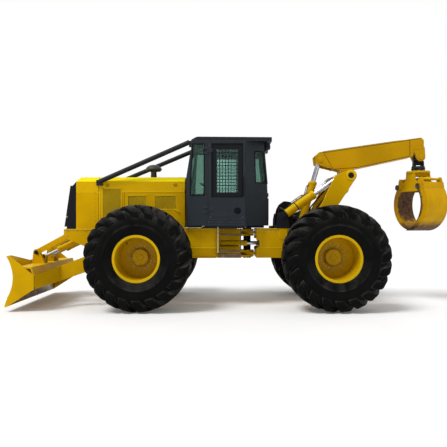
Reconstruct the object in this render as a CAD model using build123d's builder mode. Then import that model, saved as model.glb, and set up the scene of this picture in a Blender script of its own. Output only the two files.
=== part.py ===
"""Grapple skidder: an articulated forestry tractor with a stacking blade and a rear grapple.

Frame: +X forward, +Y left, +Z up, origin on the ground under the middle of the machine.
All lengths are in millimetres.  The machine is described at rest: straight ahead, blade just
off the ground, doors shut, grapple closed and hanging free.
"""

import os
from math import atan2, cos, degrees, radians, sin, tan

from build123d import *

os.makedirs("parts", exist_ok=True)

# ---------------------------------------------------------------- driving dimensions
# Running gear
tyre_diameter = 1870
tyre_width = 770
wheel_track = 2300              # between the mid-planes of a left and a right tyre
front_axle_reach = 1954         # articulation pin to front axle
rear_axle_reach = 1503          # articulation pin to rear axle
pivot_x = -188                  # articulation pin
rim_seat_radius = 382           # bead seat
rim_width = 690
rim_disc_inset = 225            # wheel disc, inboard of the tyre's mid-plane
spindle_radius = 60
axle_tube_radius = 130

# Frames
frame_half_width = 480          # outer faces of the front frame's side plates
frame_plate = 40
frame_top = 1436
frame_bottom = 887
nose_x = 3294
nose_bottom = 1270
sponson_half_width = frame_half_width + 120
sponson_top = 1475
sponson_bottom = 935
sponson_bevel = 75              # how far the foot of a sponson leans in
bevel_top = 1085                # where the lower edges of sponsons and rear frame start to lean in
rear_frame_half_width = 420
rear_frame_top = 1447
rear_frame_end_x = -2170
hinge_radius = 130              # round lugs about the articulation pin
hinge_pin_radius = 50
hinge_gap = 5
deck_height = 135               # each hinge deck, top to bottom
upper_deck_bottom = 1300
lower_deck_bottom = 890

# Hood and nose
hood_half_width = frame_half_width
hood_top = 2420
hood_shoulder = 2330
hood_front_x = 3060
hood_rear_x = 1005
hood_crease = 2126
sheet = 30                      # thickness of hood and side panels with their stiffening
grille_thickness = 45

# Cab
cab_half_width = 780
cab_floor = 1500
cab_top = 3070
cab_wall = 45
cab_rear_half_width = 400
roof_top = 3137
door_front_x = 563
door_rear_x = -130
door_bottom = 1650
door_top = 3040
glass = 8

# Blade
blade_width = 2600
blade_plate = 28
blade_pivot = (2330, 970)       # push arms on the front frame (x, z)
blade_arm_thickness = 90
blade_arm_y = frame_half_width + 170    # middle of an arm where it runs inside the tyre
link_pin = (3830, 995)          # upper links on the blade's ears
link_thickness = 26

# Arch, boom and grapple
arch_pivot = (-1390, 1310)
boom_pivot = (-2121, 2447)
boom_tail_pin = (-1614, 2777)
boom_cylinder_base = (-1220, 1450)
arch_cylinder_base = (-860, 1683)
arch_rod_pin = (-1880, 2400)
boom_half_width = 170
boom_wall = 20
boom_cylinder_y = boom_half_width - boom_wall - 55      # between the side plates of the boom's tail
boom_cylinder_radii = (66, 34)  # barrel, rod
arch_cylinder_radii = (80, 45)
# the arch's cylinders stand over the rear frame, outside the boom's
arch_cylinder_y = max(
    rear_frame_half_width - 50,
    boom_cylinder_y + boom_cylinder_radii[0] + arch_cylinder_radii[0] + 7,
)
arch_leg_inner = arch_cylinder_y + 90
arch_leg_thickness = 60
grapple_x = -3575
hang_pin_z = 2837
sway_pin_z = 2735
tong_pin_z = 2256
tong_pin_spacing = 570
tong_radius = 520               # outside of the closed ring
tong_centre_z = 1920
grapple_turn = 22               # rest turn of the log axis about +Z, degrees

# Clearances
fit = 0.3                       # a pin in its bore, and curved faces that seat on each other
running = 5                     # moving pieces side by side

# Worked out from the above
wheel_radius = tyre_diameter / 2
axle_height = wheel_radius
front_axle_x = pivot_x + front_axle_reach
rear_axle_x = pivot_x - rear_axle_reach
wheel_y = wheel_track / 2
SIDES = {"left": 1, "right": -1}


def side_plane(y=0):
    """Plane of constant Y whose own axes are the machine's X and Z."""
    return Plane(origin=(0, y, 0), x_dir=(1, 0, 0), z_dir=(0, -1, 0))


def across(x, y, z):
    """Plane at a point, facing along +Y, for pins that run across the machine."""
    return Plane(origin=(x, y, z), x_dir=(1, 0, 0), z_dir=(0, 1, 0))


def lengthways(x, y, z):
    """Plane at a point, facing along +X."""
    return Plane(origin=(x, y, z), x_dir=(0, 1, 0), z_dir=(1, 0, 0))


def between(start, end):
    """Plane half-way from start to end, facing end, and the distance between them."""
    a = Vector(*start)
    b = Vector(*end)
    return Plane(origin=(a + b) * 0.5, z_dir=b - a), (b - a).length


def rounded_bar(plane, *circles):
    """Sketch of the hull of some circles, each given as (u, v, radius)."""
    with BuildSketch(plane) as bar:
        for u, v, radius in circles:
            with Locations((u, v)):
                Circle(radius)
        make_hull()
    return bar.sketch


def outline(plane, points):
    """Sketch of a closed straight-sided outline."""
    with BuildSketch(plane) as profile:
        with BuildLine():
            Polyline(*points, close=True)
        make_face()
    return profile.sketch


def save(builder, name):
    """Label a finished piece and write its STEP file."""
    builder.part.label = name
    export_step(builder.part, f"parts/{name}.step")


# ---------------------------------------------------------------- wheels
half_rim = rim_width / 2
flange = 15
flange_radius = rim_seat_radius + 27
half_tyre = tyre_width / 2
bead = half_rim - flange - fit

# (radius, offset from the mid-plane): one half of the casing, outside then inside
casing_half = [
    (rim_seat_radius + fit, bead),
    (flange_radius + 5, bead),
    (flange_radius + 40, half_tyre - 25),
    (600, half_tyre),
    (wheel_radius - 110, half_tyre),
    (wheel_radius - 30, half_tyre - 15),
    (wheel_radius, half_tyre - 80),
]
lining_half = [
    (wheel_radius - 105, half_tyre - 120),
    (wheel_radius - 140, half_tyre - 65),
    (600, half_tyre - 60),
    (rim_seat_radius + fit, bead - 50),
]
tyre_section = (
    casing_half
    + [(r, -a) for r, a in reversed(casing_half)]
    + [(r, -a) for r, a in reversed(lining_half)]
    + lining_half
)

rim_barrel = rim_seat_radius - 16
disc_out = -rim_disc_inset + 10
disc_in = -rim_disc_inset - 10
hub_face = disc_in - 27
hub_cap = disc_out + 95
spindle_room = disc_out + 65
rim_section = [
    (0, hub_cap),
    (140, hub_cap),
    (165, disc_out),
    (rim_barrel, disc_out),
    (rim_barrel, half_rim),
    (flange_radius, half_rim),
    (flange_radius, half_rim - flange),
    (rim_seat_radius, half_rim - flange),
    (rim_seat_radius, flange - half_rim),
    (flange_radius, flange - half_rim),
    (flange_radius, -half_rim),
    (rim_barrel, -half_rim),
    (rim_barrel, disc_in),
    (190, disc_in),
    (190, hub_face),
    (spindle_radius + fit, hub_face),
    (spindle_radius + fit, spindle_room),
    (0, spindle_room),
]

for end, axle_x in (("front", front_axle_x), ("rear", rear_axle_x)):
    for side_name, side in SIDES.items():
        centre = (axle_x, side * wheel_y, axle_height)
        section_plane = Plane(origin=centre, x_dir=(1, 0, 0), z_dir=(0, 0, side))
        with BuildPart() as tyre:
            with BuildSketch(section_plane):
                with BuildLine():
                    Polyline(*tyre_section, close=True)
                make_face()
            revolve(axis=Axis(centre, (0, 1, 0)))
        save(tyre, f"tyre_{end}_{side_name}")

        with BuildPart() as rim:
            with BuildSketch(section_plane):
                with BuildLine():
                    Polyline(*rim_section, close=True)
                make_face()
            revolve(axis=Axis(centre, (0, 1, 0)))
        save(rim, f"rim_{end}_{side_name}")

# ---------------------------------------------------------------- axles
axle_end_y = wheel_y + hub_face - running      # outer face of the wheel-end housing
spindle_end_y = wheel_y + spindle_room - 2
drum_length = 190
bowl_radius = 240
trunnion_radius = 80
cradle_offset = 300                            # cradle plates before and behind the axle
axle_saddle_top = axle_height + 205            # the rear frame sits on this pad

for end, axle_x in (("front", front_axle_x), ("rear", rear_axle_x)):
    with BuildPart() as axle:
        with Locations(across(axle_x, 0, axle_height)):
            Cylinder(bowl_radius, 300)
            Cylinder(axle_tube_radius, 2 * axle_end_y)
            Cylinder(spindle_radius, 2 * spindle_end_y)
        for side in SIDES.values():
            with Locations(across(axle_x, side * 200, axle_height)):
                Cylinder(bowl_radius - 50, 120)
            with Locations(across(axle_x, side * (axle_end_y - drum_length / 2), axle_height)):
                Cylinder(190, drum_length)
        if end == "front":
            with Locations(lengthways(axle_x, 0, axle_height)):
                Cylinder(trunnion_radius, 2 * cradle_offset + frame_plate)
        else:
            with Locations(lengthways(axle_x + 300, 0, axle_height)):
                Cylinder(trunnion_radius + 20, 260)
            with Locations((axle_x, 0, axle_saddle_top - 45)):
                Box(300, 2 * rear_frame_half_width, 90)
    save(axle, f"{end}_axle")

# ---------------------------------------------------------------- front frame
frame_inner = frame_half_width - frame_plate
deck_top = upper_deck_bottom + deck_height
hinge_front_x = pivot_x + hinge_radius + running + 3
decks_front_x = 460
sponson_x = (398, 958)
cradle_bottom = 860
nose_back = (2840, 1086)
deck_half_width_rear = 300
deck_flange = 20                # lips along the decks' edges, above and below the steering cylinders
front_mount_x = 880             # cab mounts on the sponsons
rear_mount_x = 60               # and on the upper deck
rear_mount_y = 200
mount_radius = 45
steering_z = 1160
steering_front_pin = (380, frame_inner - 100)
steering_rear_pin = (-448, 200)
steering_pin_radius = 22
steering_eye_half = 45
ear_plate = 15
blade_cylinder_base = (2930, 1290)
cross_shaft_radius = 40
blade_pin_radius = 55

side_plate_points = [
    (nose_x, frame_top),
    (nose_x, nose_bottom),
    nose_back,
    (1300, nose_back[1]),
    (sponson_x[1], frame_bottom),
    (decks_front_x - frame_plate, frame_bottom),
    (decks_front_x - frame_plate, frame_top),
]
# cross plates between the side plates: x, thickness, bottom, top
cross_plates = [
    (decks_front_x, frame_plate, frame_bottom, frame_top),
    (1150, frame_plate, frame_bottom + 60, 1200),
    (front_axle_x - cradle_offset, frame_plate, cradle_bottom, 1250),
    (front_axle_x + cradle_offset, frame_plate, cradle_bottom, 1250),
    (2440, 80, 1100, 1250),
]
# hinge decks and the fork each ends in: bottom, then the tongue's room inside the fork
hinge_decks = [upper_deck_bottom, lower_deck_bottom]
tongue_thickness = 45
fork_plate = (deck_height - tongue_thickness - 2 * hinge_gap) / 2

with BuildPart() as front_frame:
    for side in SIDES.values():
        plate_y = side * (frame_half_width - frame_plate / 2)
        extrude(outline(side_plane(plate_y), side_plate_points), amount=frame_plate / 2, both=True)
        sponson_y = side * (frame_half_width + sponson_half_width) / 2
        sponson_section = [
            (side * (frame_half_width - 1), sponson_top),
            (side * sponson_half_width, sponson_top),
            (side * sponson_half_width, bevel_top),
            (side * (sponson_half_width - sponson_bevel), sponson_bottom),
            (side * (frame_half_width - 1), sponson_bottom),
        ]
        sponson = outline(lengthways(sponson_x[0], 0, 0), sponson_section)
        extrude(sponson, amount=sponson_x[1] - sponson_x[0])
        # bracket and trunnion for a blade arm, and the pads that carry the cab
        bracket = rounded_bar(side_plane(plate_y), (*blade_pivot, 110), (blade_pivot[0], 1180, 150))
        extrude(bracket, amount=frame_plate / 2, both=True)
        with Locations(across(blade_pivot[0], side * (frame_half_width + 50), blade_pivot[1])):
            Cylinder(blade_pin_radius + 35, 100 + frame_plate)
        arm_outside = blade_arm_y + blade_arm_thickness / 2
        with Locations(across(blade_pivot[0], side * (frame_half_width + arm_outside) / 2, blade_pivot[1])):
            Cylinder(blade_pin_radius, arm_outside - frame_half_width + 30)
        with Locations((front_mount_x, sponson_y, (sponson_top + cab_floor) / 2)):
            Cylinder(mount_radius, cab_floor - sponson_top)
        with Locations((rear_mount_x, side * rear_mount_y, (upper_deck_bottom + cab_floor) / 2)):
            Cylinder(mount_radius, cab_floor - upper_deck_bottom)
    for x, thickness, bottom, top in cross_plates:
        with Locations((x, 0, (bottom + top) / 2)):
            Box(thickness, 2 * frame_inner, top - bottom)
    # ledge over the nose, its front plate and the shaft that carries the blade cylinders
    with Locations(((nose_back[0] + nose_x) / 2, 0, frame_top - 7)):
        Box(nose_x - nose_back[0], 2 * frame_inner, 14)
    with Locations((nose_x - 15, 0, (nose_bottom + frame_top) / 2)):
        Box(30, 320, frame_top - nose_bottom)
    with Locations(across(blade_cylinder_base[0], 0, blade_cylinder_base[1])):
        Cylinder(cross_shaft_radius, 2 * frame_inner)
    # lips that stiffen the decks and leave a slot for the steering cylinders
    slot_half = steering_eye_half + running + ear_plate / 2
    flange_heights = [
        (lower_deck_bottom + deck_height - 1, steering_z - slot_half),
        (steering_z + slot_half, upper_deck_bottom + 1),
    ]
    for side in SIDES.values():
        for bottom, top in flange_heights:
            with BuildSketch(Plane.XY.offset(bottom)):
                with BuildLine():
                    Polyline(
                        (decks_front_x, side * frame_inner),
                        (hinge_front_x, side * deck_half_width_rear),
                        (hinge_front_x, side * (deck_half_width_rear - deck_flange)),
                        (decks_front_x, side * (frame_inner - deck_flange)),
                        close=True,
                    )
                make_face()
            extrude(amount=top - bottom)
    # decks reaching back to the articulation pin
    for deck_bottom in hinge_decks:
        with BuildSketch(Plane.XY.offset(deck_bottom)):
            with BuildLine():
                Polyline(
                    (decks_front_x, -frame_inner),
                    (decks_front_x, frame_inner),
                    (hinge_front_x, deck_half_width_rear),
                    (hinge_front_x, -deck_half_width_rear),
                    close=True,
                )
            make_face()
        extrude(amount=deck_height)
        with BuildSketch(Plane.XY.offset(deck_bottom)):
            with Locations((pivot_x, 0), (hinge_front_x, hinge_radius), (hinge_front_x, -hinge_radius)):
                Circle(hinge_radius)
            make_hull()
        extrude(amount=deck_height)
        slot_length = hinge_front_x - pivot_x + 2 * hinge_radius
        with Locations((hinge_front_x - slot_length / 2, 0, deck_bottom + deck_height / 2)):
            Box(slot_length, 4 * hinge_radius, tongue_thickness + 2 * hinge_gap, mode=Mode.SUBTRACT)
        with Locations((pivot_x, 0, deck_bottom + deck_height / 2)):
            Cylinder(hinge_pin_radius, deck_height)
    # cradle bores for the oscillating axle, and ears for the steering cylinders
    with Locations(lengthways(front_axle_x, 0, axle_height)):
        Cylinder(trunnion_radius + fit, 2 * cradle_offset + 2 * frame_plate, mode=Mode.SUBTRACT)
    for side in SIDES.values():
        ear_x, ear_y = steering_front_pin
        for level in (-1, 1):
            ear_z = steering_z + level * (steering_eye_half + running + ear_plate / 2)
            with BuildSketch(Plane.XY.offset(ear_z - ear_plate / 2)):
                with Locations((ear_x, side * ear_y)):
                    Circle(45)
                with Locations(((ear_x + decks_front_x) / 2, side * ear_y)):
                    Rectangle(decks_front_x - ear_x, 90)
            extrude(amount=ear_plate)
        with Locations((ear_x, side * ear_y, steering_z)):
            Cylinder(steering_pin_radius, 2 * (steering_eye_half + running + ear_plate))
save(front_frame, "front_frame")

# ---------------------------------------------------------------- rear frame
rear_inner = rear_frame_half_width - frame_plate
rear_front_x = pivot_x - 160
rear_decks_end = -1060
hose_start_x = -700
arch_pin_radius = 60
tower_plate = 20
tower_pin_radius = 35
eye_half = 40
arch_pin_stub = arch_leg_inner + arch_leg_thickness
saddle_x = (rear_axle_x - 180, rear_axle_x + 180)
rear_plate_bottom = 1000
rear_bevel = 30                 # how far the side plates thin out at their lower edge
# side plates dip in front of the arch pin to let the boom cylinders' shaft swing through
rear_side_points = [
    (rear_front_x, rear_frame_top),
    (-1080, rear_frame_top),
    (-1130, 1230),
    (-1240, 1230),
    (-1290, arch_pivot[1] + 100),
    (-1490, arch_pivot[1] + 100),
    (-1530, rear_frame_top),
    (rear_frame_end_x, rear_frame_top),
    (rear_frame_end_x, rear_plate_bottom),
    (saddle_x[0] - 120, frame_bottom),
    (saddle_x[0], axle_saddle_top),
    (saddle_x[1], axle_saddle_top),
    (saddle_x[1] + 120, frame_bottom),
    (rear_front_x, frame_bottom),
    # notch for the steering cylinders when the machine is turned
    (rear_front_x, steering_z - 85),
    (rear_front_x - 60, steering_z - 70),
    (rear_front_x - 60, steering_z + 70),
    (rear_front_x, steering_z + 85),
]
# cross plates: x, bottom, top
rear_cross_plates = [
    (rear_decks_end, frame_bottom, deck_top),
    (-1460, 1180, 1400),
    (rear_frame_end_x + frame_plate / 2, rear_plate_bottom, rear_frame_top),
]
winch_x = -1930
winch_z = 1660
winch_deck = (rear_frame_end_x, -1560)

with BuildPart() as rear_frame:
    for side in SIDES.values():
        plate_y = side * (rear_frame_half_width - frame_plate / 2)
        extrude(outline(side_plane(plate_y), rear_side_points), amount=frame_plate / 2, both=True)
        stub_middle = side * (rear_frame_half_width + arch_pin_stub) / 2
        with Locations(across(arch_pivot[0], stub_middle, arch_pivot[1])):
            Cylinder(arch_pin_radius, arch_pin_stub - rear_frame_half_width + 20)
        # tower with two ears and the pin of an arch cylinder
        tower_x, tower_z = arch_cylinder_base
        for ear_side in (-1, 1):
            ear_y = side * (arch_cylinder_y + ear_side * (eye_half + running + tower_plate / 2))
            ear = rounded_bar(side_plane(ear_y), (tower_x, tower_z, 75), (tower_x, rear_frame_top - 130, 75))
            extrude(ear, amount=tower_plate / 2, both=True)
        with Locations(across(tower_x, side * arch_cylinder_y, tower_z)):
            Cylinder(tower_pin_radius, 2 * (eye_half + running + tower_plate) + 20)
        wedge_section = [
            (side * (rear_frame_half_width + 1), bevel_top),
            (side * rear_frame_half_width, bevel_top),
            (side * (rear_frame_half_width - rear_bevel), frame_bottom),
            (side * (rear_frame_half_width - rear_bevel), frame_bottom - 1),
            (side * (rear_frame_half_width + 1), frame_bottom - 1),
        ]
        wedge = outline(lengthways(saddle_x[0], 0, 0), wedge_section)
        extrude(wedge, amount=rear_front_x + 1 - saddle_x[0], mode=Mode.SUBTRACT)
    for x, bottom, top in rear_cross_plates:
        with Locations((x, 0, (bottom + top) / 2)):
            Box(frame_plate, 2 * rear_inner, top - bottom)
    for deck_bottom in hinge_decks:
        deck_middle_x = (rear_front_x + rear_decks_end) / 2
        with Locations((deck_middle_x, 0, deck_bottom + deck_height / 2)):
            Box(rear_front_x - rear_decks_end, 2 * rear_inner, deck_height)
        tongue_bottom = deck_bottom + fork_plate + hinge_gap
        with BuildSketch(Plane.XY.offset(tongue_bottom)):
            with Locations((pivot_x, 0)):
                Circle(hinge_radius)
            with Locations(((pivot_x + rear_front_x) / 2 - 5, 0)):
                Rectangle(pivot_x - rear_front_x + 10, 2 * hinge_radius)
        extrude(amount=tongue_thickness)
        with Locations((pivot_x, 0, deck_bottom + deck_height / 2)):
            Cylinder(hinge_pin_radius + fit, deck_height, mode=Mode.SUBTRACT)
    # the ears that the steering rods reach, between the decks
    for level in (-1, 1):
        ear_z = steering_z + level * (steering_eye_half + running + ear_plate / 2)
        with Locations(((steering_rear_pin[0] + rear_decks_end + 60) / 2, 0, ear_z)):
            Box(steering_rear_pin[0] - rear_decks_end + 60, 2 * rear_inner, ear_plate)
        for side in SIDES.values():
            with Locations((steering_rear_pin[0], side * steering_rear_pin[1], ear_z + level * 12)):
                Cylinder(30, ear_plate)
    with Locations((sum(winch_deck) / 2, 0, rear_frame_top - 15)):
        Box(winch_deck[1] - winch_deck[0], 2 * rear_inner, 30)
save(rear_frame, "rear_frame")

# ---------------------------------------------------------------- winch
drum_radius = 130
drum_flange_radius = 190
winch_half = 290
with BuildPart() as winch:
    with Locations(across(winch_x, 0, winch_z)):
        Cylinder(drum_radius, 2 * winch_half)
    for y in (-winch_half + 30, winch_half - 90):
        with Locations(across(winch_x, y, winch_z)):
            Cylinder(drum_flange_radius, 25)
    for side in SIDES.values():
        stand = rounded_bar(
            side_plane(side * winch_half), (winch_x, winch_z, 110), (winch_x, rear_frame_top + 150, 150)
        )
        extrude(stand, amount=30, both=True)
    with Locations((winch_x, 0, rear_frame_top + 20)):
        Box(420, 2 * winch_half + 60, 40)
save(winch, "winch")

# ---------------------------------------------------------------- engine, hood and nose
engine_x = (1460, 2480)
engine_z = (1250, 2000)
engine_width = 620
with BuildPart() as engine_block:
    with Locations((sum(engine_x) / 2, 0, sum(engine_z) / 2)):
        Box(engine_x[1] - engine_x[0], engine_width, engine_z[1] - engine_z[0])
save(engine_block, "engine_block")

shoulder_y = hood_half_width - 90
hood_section = [
    (-hood_half_width, hood_crease + fit),
    (-hood_half_width, hood_shoulder),
    (-shoulder_y, hood_top),
    (shoulder_y, hood_top),
    (hood_half_width, hood_shoulder),
    (hood_half_width, hood_crease + fit),
    (hood_half_width - sheet, hood_crease + fit),
    (hood_half_width - sheet, hood_shoulder - 12),
    (shoulder_y - 12, hood_top - sheet),
    (12 - shoulder_y, hood_top - sheet),
    (sheet - hood_half_width, hood_shoulder - 12),
    (sheet - hood_half_width, hood_crease + fit),
]
with BuildPart() as hood:
    with BuildSketch(lengthways(hood_rear_x, 0, 0)):
        with BuildLine():
            Polyline(*hood_section, close=True)
        make_face()
    extrude(amount=hood_front_x - hood_rear_x)
    # the front edge of the roof slopes down to meet the nose
    slope = outline(
        side_plane(),
        [(hood_front_x - 70, hood_top), (hood_front_x, hood_shoulder), (hood_front_x, hood_top)],
    )
    extrude(slope, amount=hood_half_width, both=True, mode=Mode.SUBTRACT)
save(hood, "hood")

# screened openings in each side panel: front x, rear x, bottom, top
screens = [
    (2564, 2205, 1560, 2085),
    (2092, 1723, 1560, 2071),
    (1583, 1169, 1805, 2071),
]
screen_recess = 8
with BuildPart() as engine_side_panels:
    for side in SIDES.values():
        panel_y = side * (hood_half_width - sheet / 2)
        panel_middle = ((hood_front_x + hood_rear_x) / 2, panel_y, (frame_top + hood_crease) / 2)
        with Locations(panel_middle):
            Box(hood_front_x - hood_rear_x, sheet, hood_crease - frame_top)
        for front, rear, bottom, top in screens:
            recess_y = side * (hood_half_width - screen_recess / 2)
            with Locations(((front + rear) / 2, recess_y, (bottom + top) / 2)):
                Box(front - rear, screen_recess, top - bottom, mode=Mode.SUBTRACT)
save(engine_side_panels, "engine_side_panels")

# the nose: a box of sheet metal whose front slopes back, closed by the grille door
grille_low = (3283, 1480)
grille_high = (3171, 2255)
lean = Vector(grille_high[0] - grille_low[0], grille_high[1] - grille_low[1]).normalized()
inset_x = grille_thickness * lean.Y + fit
nose_face_low = (grille_low[0] - inset_x, grille_low[1])
nose_face_high = (grille_high[0] - inset_x, grille_high[1])
# hinge down the nose's right edge, in front of the door's face
grille_hinge_radius = 8
grille_hinge = Plane(
    origin=(grille_low[0] + running, -hood_half_width - 2, grille_low[1]),
    x_dir=(0, 1, 0),
    z_dir=(lean.X, 0, lean.Y),
)
knuckle_length = 60
door_knuckles = (170, 590)      # middle of each of the door's knuckles, up the hinge
with BuildPart() as radiator_housing:
    housing = outline(
        side_plane(),
        [
            (hood_front_x + fit, frame_top),
            nose_face_low[:1] + (frame_top,),
            nose_face_low,
            nose_face_high,
            (hood_front_x + fit, hood_shoulder),
        ],
    )
    extrude(housing, amount=hood_half_width, both=True)
    hollow = outline(
        side_plane(),
        [
            (hood_front_x - 1, frame_top + sheet),
            (grille_low[0], frame_top + sheet),
            (grille_low[0], grille_low[1] + sheet),
            (grille_high[0], grille_high[1] - sheet),
            (hood_front_x - 1, hood_shoulder - 2 * sheet),
        ],
    )
    extrude(hollow, amount=hood_half_width - sheet, both=True, mode=Mode.SUBTRACT)
    for level in door_knuckles:
        with Locations(grille_hinge.offset(level + knuckle_length + 2)):
            Cylinder(grille_hinge_radius, knuckle_length)
            with Locations((-4, (grille_thickness + 60) / 2)):
                Box(14, grille_thickness + 60, knuckle_length)
save(radiator_housing, "radiator_housing")

radiator_x = 2960
radiator_top = 2240
with BuildPart() as radiator:
    with Locations((radiator_x, 0, (frame_top + radiator_top) / 2)):
        Box(130, 2 * (hood_half_width - sheet - 20), radiator_top - frame_top)
save(radiator, "radiator")

grille_half_width = hood_half_width - 6
with BuildPart() as grille_door:
    door_face = outline(
        side_plane(),
        [
            (grille_low[0] - grille_thickness * lean.Y, grille_low[1]),
            grille_low,
            grille_high,
            (grille_high[0] - grille_thickness * lean.Y, grille_high[1]),
        ],
    )
    extrude(door_face, amount=grille_half_width, both=True)
    rim_room = outline(
        side_plane(),
        [
            (grille_low[0] - 0.35 * grille_thickness, grille_low[1] + 60),
            (grille_low[0] + 60, grille_low[1] + 60),
            (grille_high[0] + 60, grille_high[1] - 60),
            (grille_high[0] - 0.35 * grille_thickness + 9, grille_high[1] - 60),
        ],
    )
    extrude(rim_room, amount=grille_half_width - 60, both=True, mode=Mode.SUBTRACT)
    for level in door_knuckles:
        with Locations(grille_hinge.offset(level)):
            Cylinder(grille_hinge_radius, knuckle_length)
            with Locations((30, 0)):
                Box(60, 12, knuckle_length)
save(grille_door, "grille_door")

precleaner_x = 1657
with BuildPart() as air_precleaner:
    # (radius, height) from the hood up
    bowl = [
        (0, hood_top + fit),
        (75, hood_top + fit),
        (75, hood_top + 20),
        (60, hood_top + 25),
        (60, hood_top + 155),
        (140, hood_top + 160),
        (163, hood_top + 185),
        (163, hood_top + 235),
        (120, hood_top + 270),
        (50, hood_top + 280),
        (0, hood_top + 280),
    ]
    bowl_profile = outline(side_plane(), [(precleaner_x + radius, z) for radius, z in bowl])
    revolve(bowl_profile, axis=Axis((precleaner_x, 0, 0), (0, 0, 1)))
save(air_precleaner, "air_precleaner")

# ---------------------------------------------------------------- cab
cab_front_low = 953
cab_front_knee = (974, 2270)
cab_front_high = (873, 2900)
cab_rear_x = -580
cab_rear_bend = 1800
cab_rear_knee = (-552, 2280)
cab_rear_high = (-497, 2900)
cab_front_corner = 40           # the front corners are cut off at 45 degrees
cab_plan_points = [
    (1000, cab_half_width - cab_front_corner - 40),
    (cab_front_low - cab_front_corner, cab_half_width),
    (door_rear_x, cab_half_width),
    (cab_rear_x, cab_rear_half_width),
]
rear_corner_slope = degrees(atan2(cab_half_width - cab_rear_half_width, door_rear_x - cab_rear_x))
door_gap = 6
door_middle_x = (door_front_x + door_rear_x) / 2
door_middle_z = (door_bottom + door_top) / 2
door_hinge_x = door_front_x + 6
door_hinge_out = 13             # hinge axis, out from the side of the cab
door_hinge_heights = (1800, 2880)
door_knuckle = (12, 60)         # radius, height
door_knuckle_y = cab_half_width + door_hinge_out
# window openings through the side walls: outline corners (x, z)
front_quarter = [(836, 2995), (638, 2995), (638, 2065), (876, 2065), (876, 2290)]
windshield = (1080, 2300, 2860)         # width, bottom, top
rear_window = (560, 2320, 2870)
# on the slanted rear corners: (along the slope from its middle, z), following the leaning rear
rear_quarter = [(-62, 2880), (148, 2880), (222, 2310), (-38, 2310)]
rear_corner_middle = (
    (door_rear_x + cab_rear_x) / 2,
    (cab_half_width + cab_rear_half_width) / 2,
)


def cab_side(inward):
    """Side outline of the cab, moved inward by a wall thickness."""
    points = [
        (cab_front_low - inward, cab_floor + inward),
        (cab_front_knee[0] - inward, cab_front_knee[1]),
        (cab_front_high[0] - inward, cab_front_high[1]),
        (cab_front_high[0] - inward, cab_top - inward),
        (cab_rear_high[0] + inward, cab_top - inward),
        (cab_rear_high[0] + inward, cab_rear_high[1]),
        (cab_rear_knee[0] + inward, cab_rear_knee[1]),
        (cab_rear_x + inward, cab_rear_bend),
        (cab_rear_x + inward, cab_floor + inward),
    ]
    return outline(side_plane(), points)


def cab_plan(plane, inward):
    """Plan outline of the cab, moved inward by a wall thickness."""
    front, corner, door_edge, rear = cab_plan_points
    left_side = [
        (front[0] - inward, front[1] - 0.45 * inward),
        (corner[0] - 0.4 * inward, corner[1] - inward),
        (door_edge[0] - 0.35 * inward, door_edge[1] - inward),
        (rear[0] + inward, rear[1] - 0.5 * inward),
    ]
    return outline(plane, left_side + [(x, -y) for x, y in reversed(left_side)])


def rear_corner_plane(side):
    """Plane on the outside of a slanted rear corner, facing out, its own y the machine's Z."""
    x, y = rear_corner_middle
    normal = Vector(-sin(radians(rear_corner_slope)), side * cos(radians(rear_corner_slope)), 0)
    return Plane(origin=(x, side * y, 0), x_dir=normal.cross(Vector(0, 0, 1)) * -1, z_dir=normal)


def rear_quarter_sketch(side, depth):
    """Outline of a rear quarter window, at a depth in from the outside of its wall."""
    points = [(side * along, z) for along, z in rear_quarter]
    return outline(rear_corner_plane(side).offset(-depth), points)


with BuildPart() as cab_room:
    extrude(cab_side(cab_wall), amount=cab_half_width, both=True)
    extrude(cab_plan(Plane.XY.offset(cab_floor), cab_wall), amount=2000, mode=Mode.INTERSECT)

with BuildPart() as cab_shell:
    extrude(cab_side(0), amount=cab_half_width, both=True)
    extrude(cab_plan(Plane.XY.offset(cab_floor), 0), amount=2000, mode=Mode.INTERSECT)
    add(cab_room.part, mode=Mode.SUBTRACT)
    # windshield and rear window
    width, bottom, top = windshield
    with Locations((900, 0, (bottom + top) / 2)):
        Box(300, width, top - bottom, mode=Mode.SUBTRACT)
    width, bottom, top = rear_window
    with Locations((-500, 0, (bottom + top) / 2)):
        Box(300, width, top - bottom, mode=Mode.SUBTRACT)
    for side in SIDES.values():
        extrude(
            outline(side_plane(side * (cab_half_width - cab_wall / 2)), front_quarter),
            amount=cab_wall,
            both=True,
            mode=Mode.SUBTRACT,
        )
        # doorway
        with Locations((door_middle_x, side * cab_half_width, door_middle_z)):
            Box(door_front_x - door_rear_x, 3 * cab_wall, door_top - door_bottom, mode=Mode.SUBTRACT)
        extrude(rear_quarter_sketch(side, 0), amount=1.5 * cab_wall, both=True, mode=Mode.SUBTRACT)
        # knuckles above and below each of the door's own
        radius, height = door_knuckle
        for middle in door_hinge_heights:
            for way in (-1, 1):
                z = middle + way * (0.75 * height + fit)
                with Locations((door_hinge_x, side * door_knuckle_y, z)):
                    Cylinder(radius, height / 2)
                with Locations((door_hinge_x + 7, side * cab_half_width, z)):
                    leaf_align = (Align.MIN, Align.MIN if side > 0 else Align.MAX, Align.CENTER)
                    Box(64, door_hinge_out, height / 2, align=leaf_align)
save(cab_shell, "cab_shell")

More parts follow.
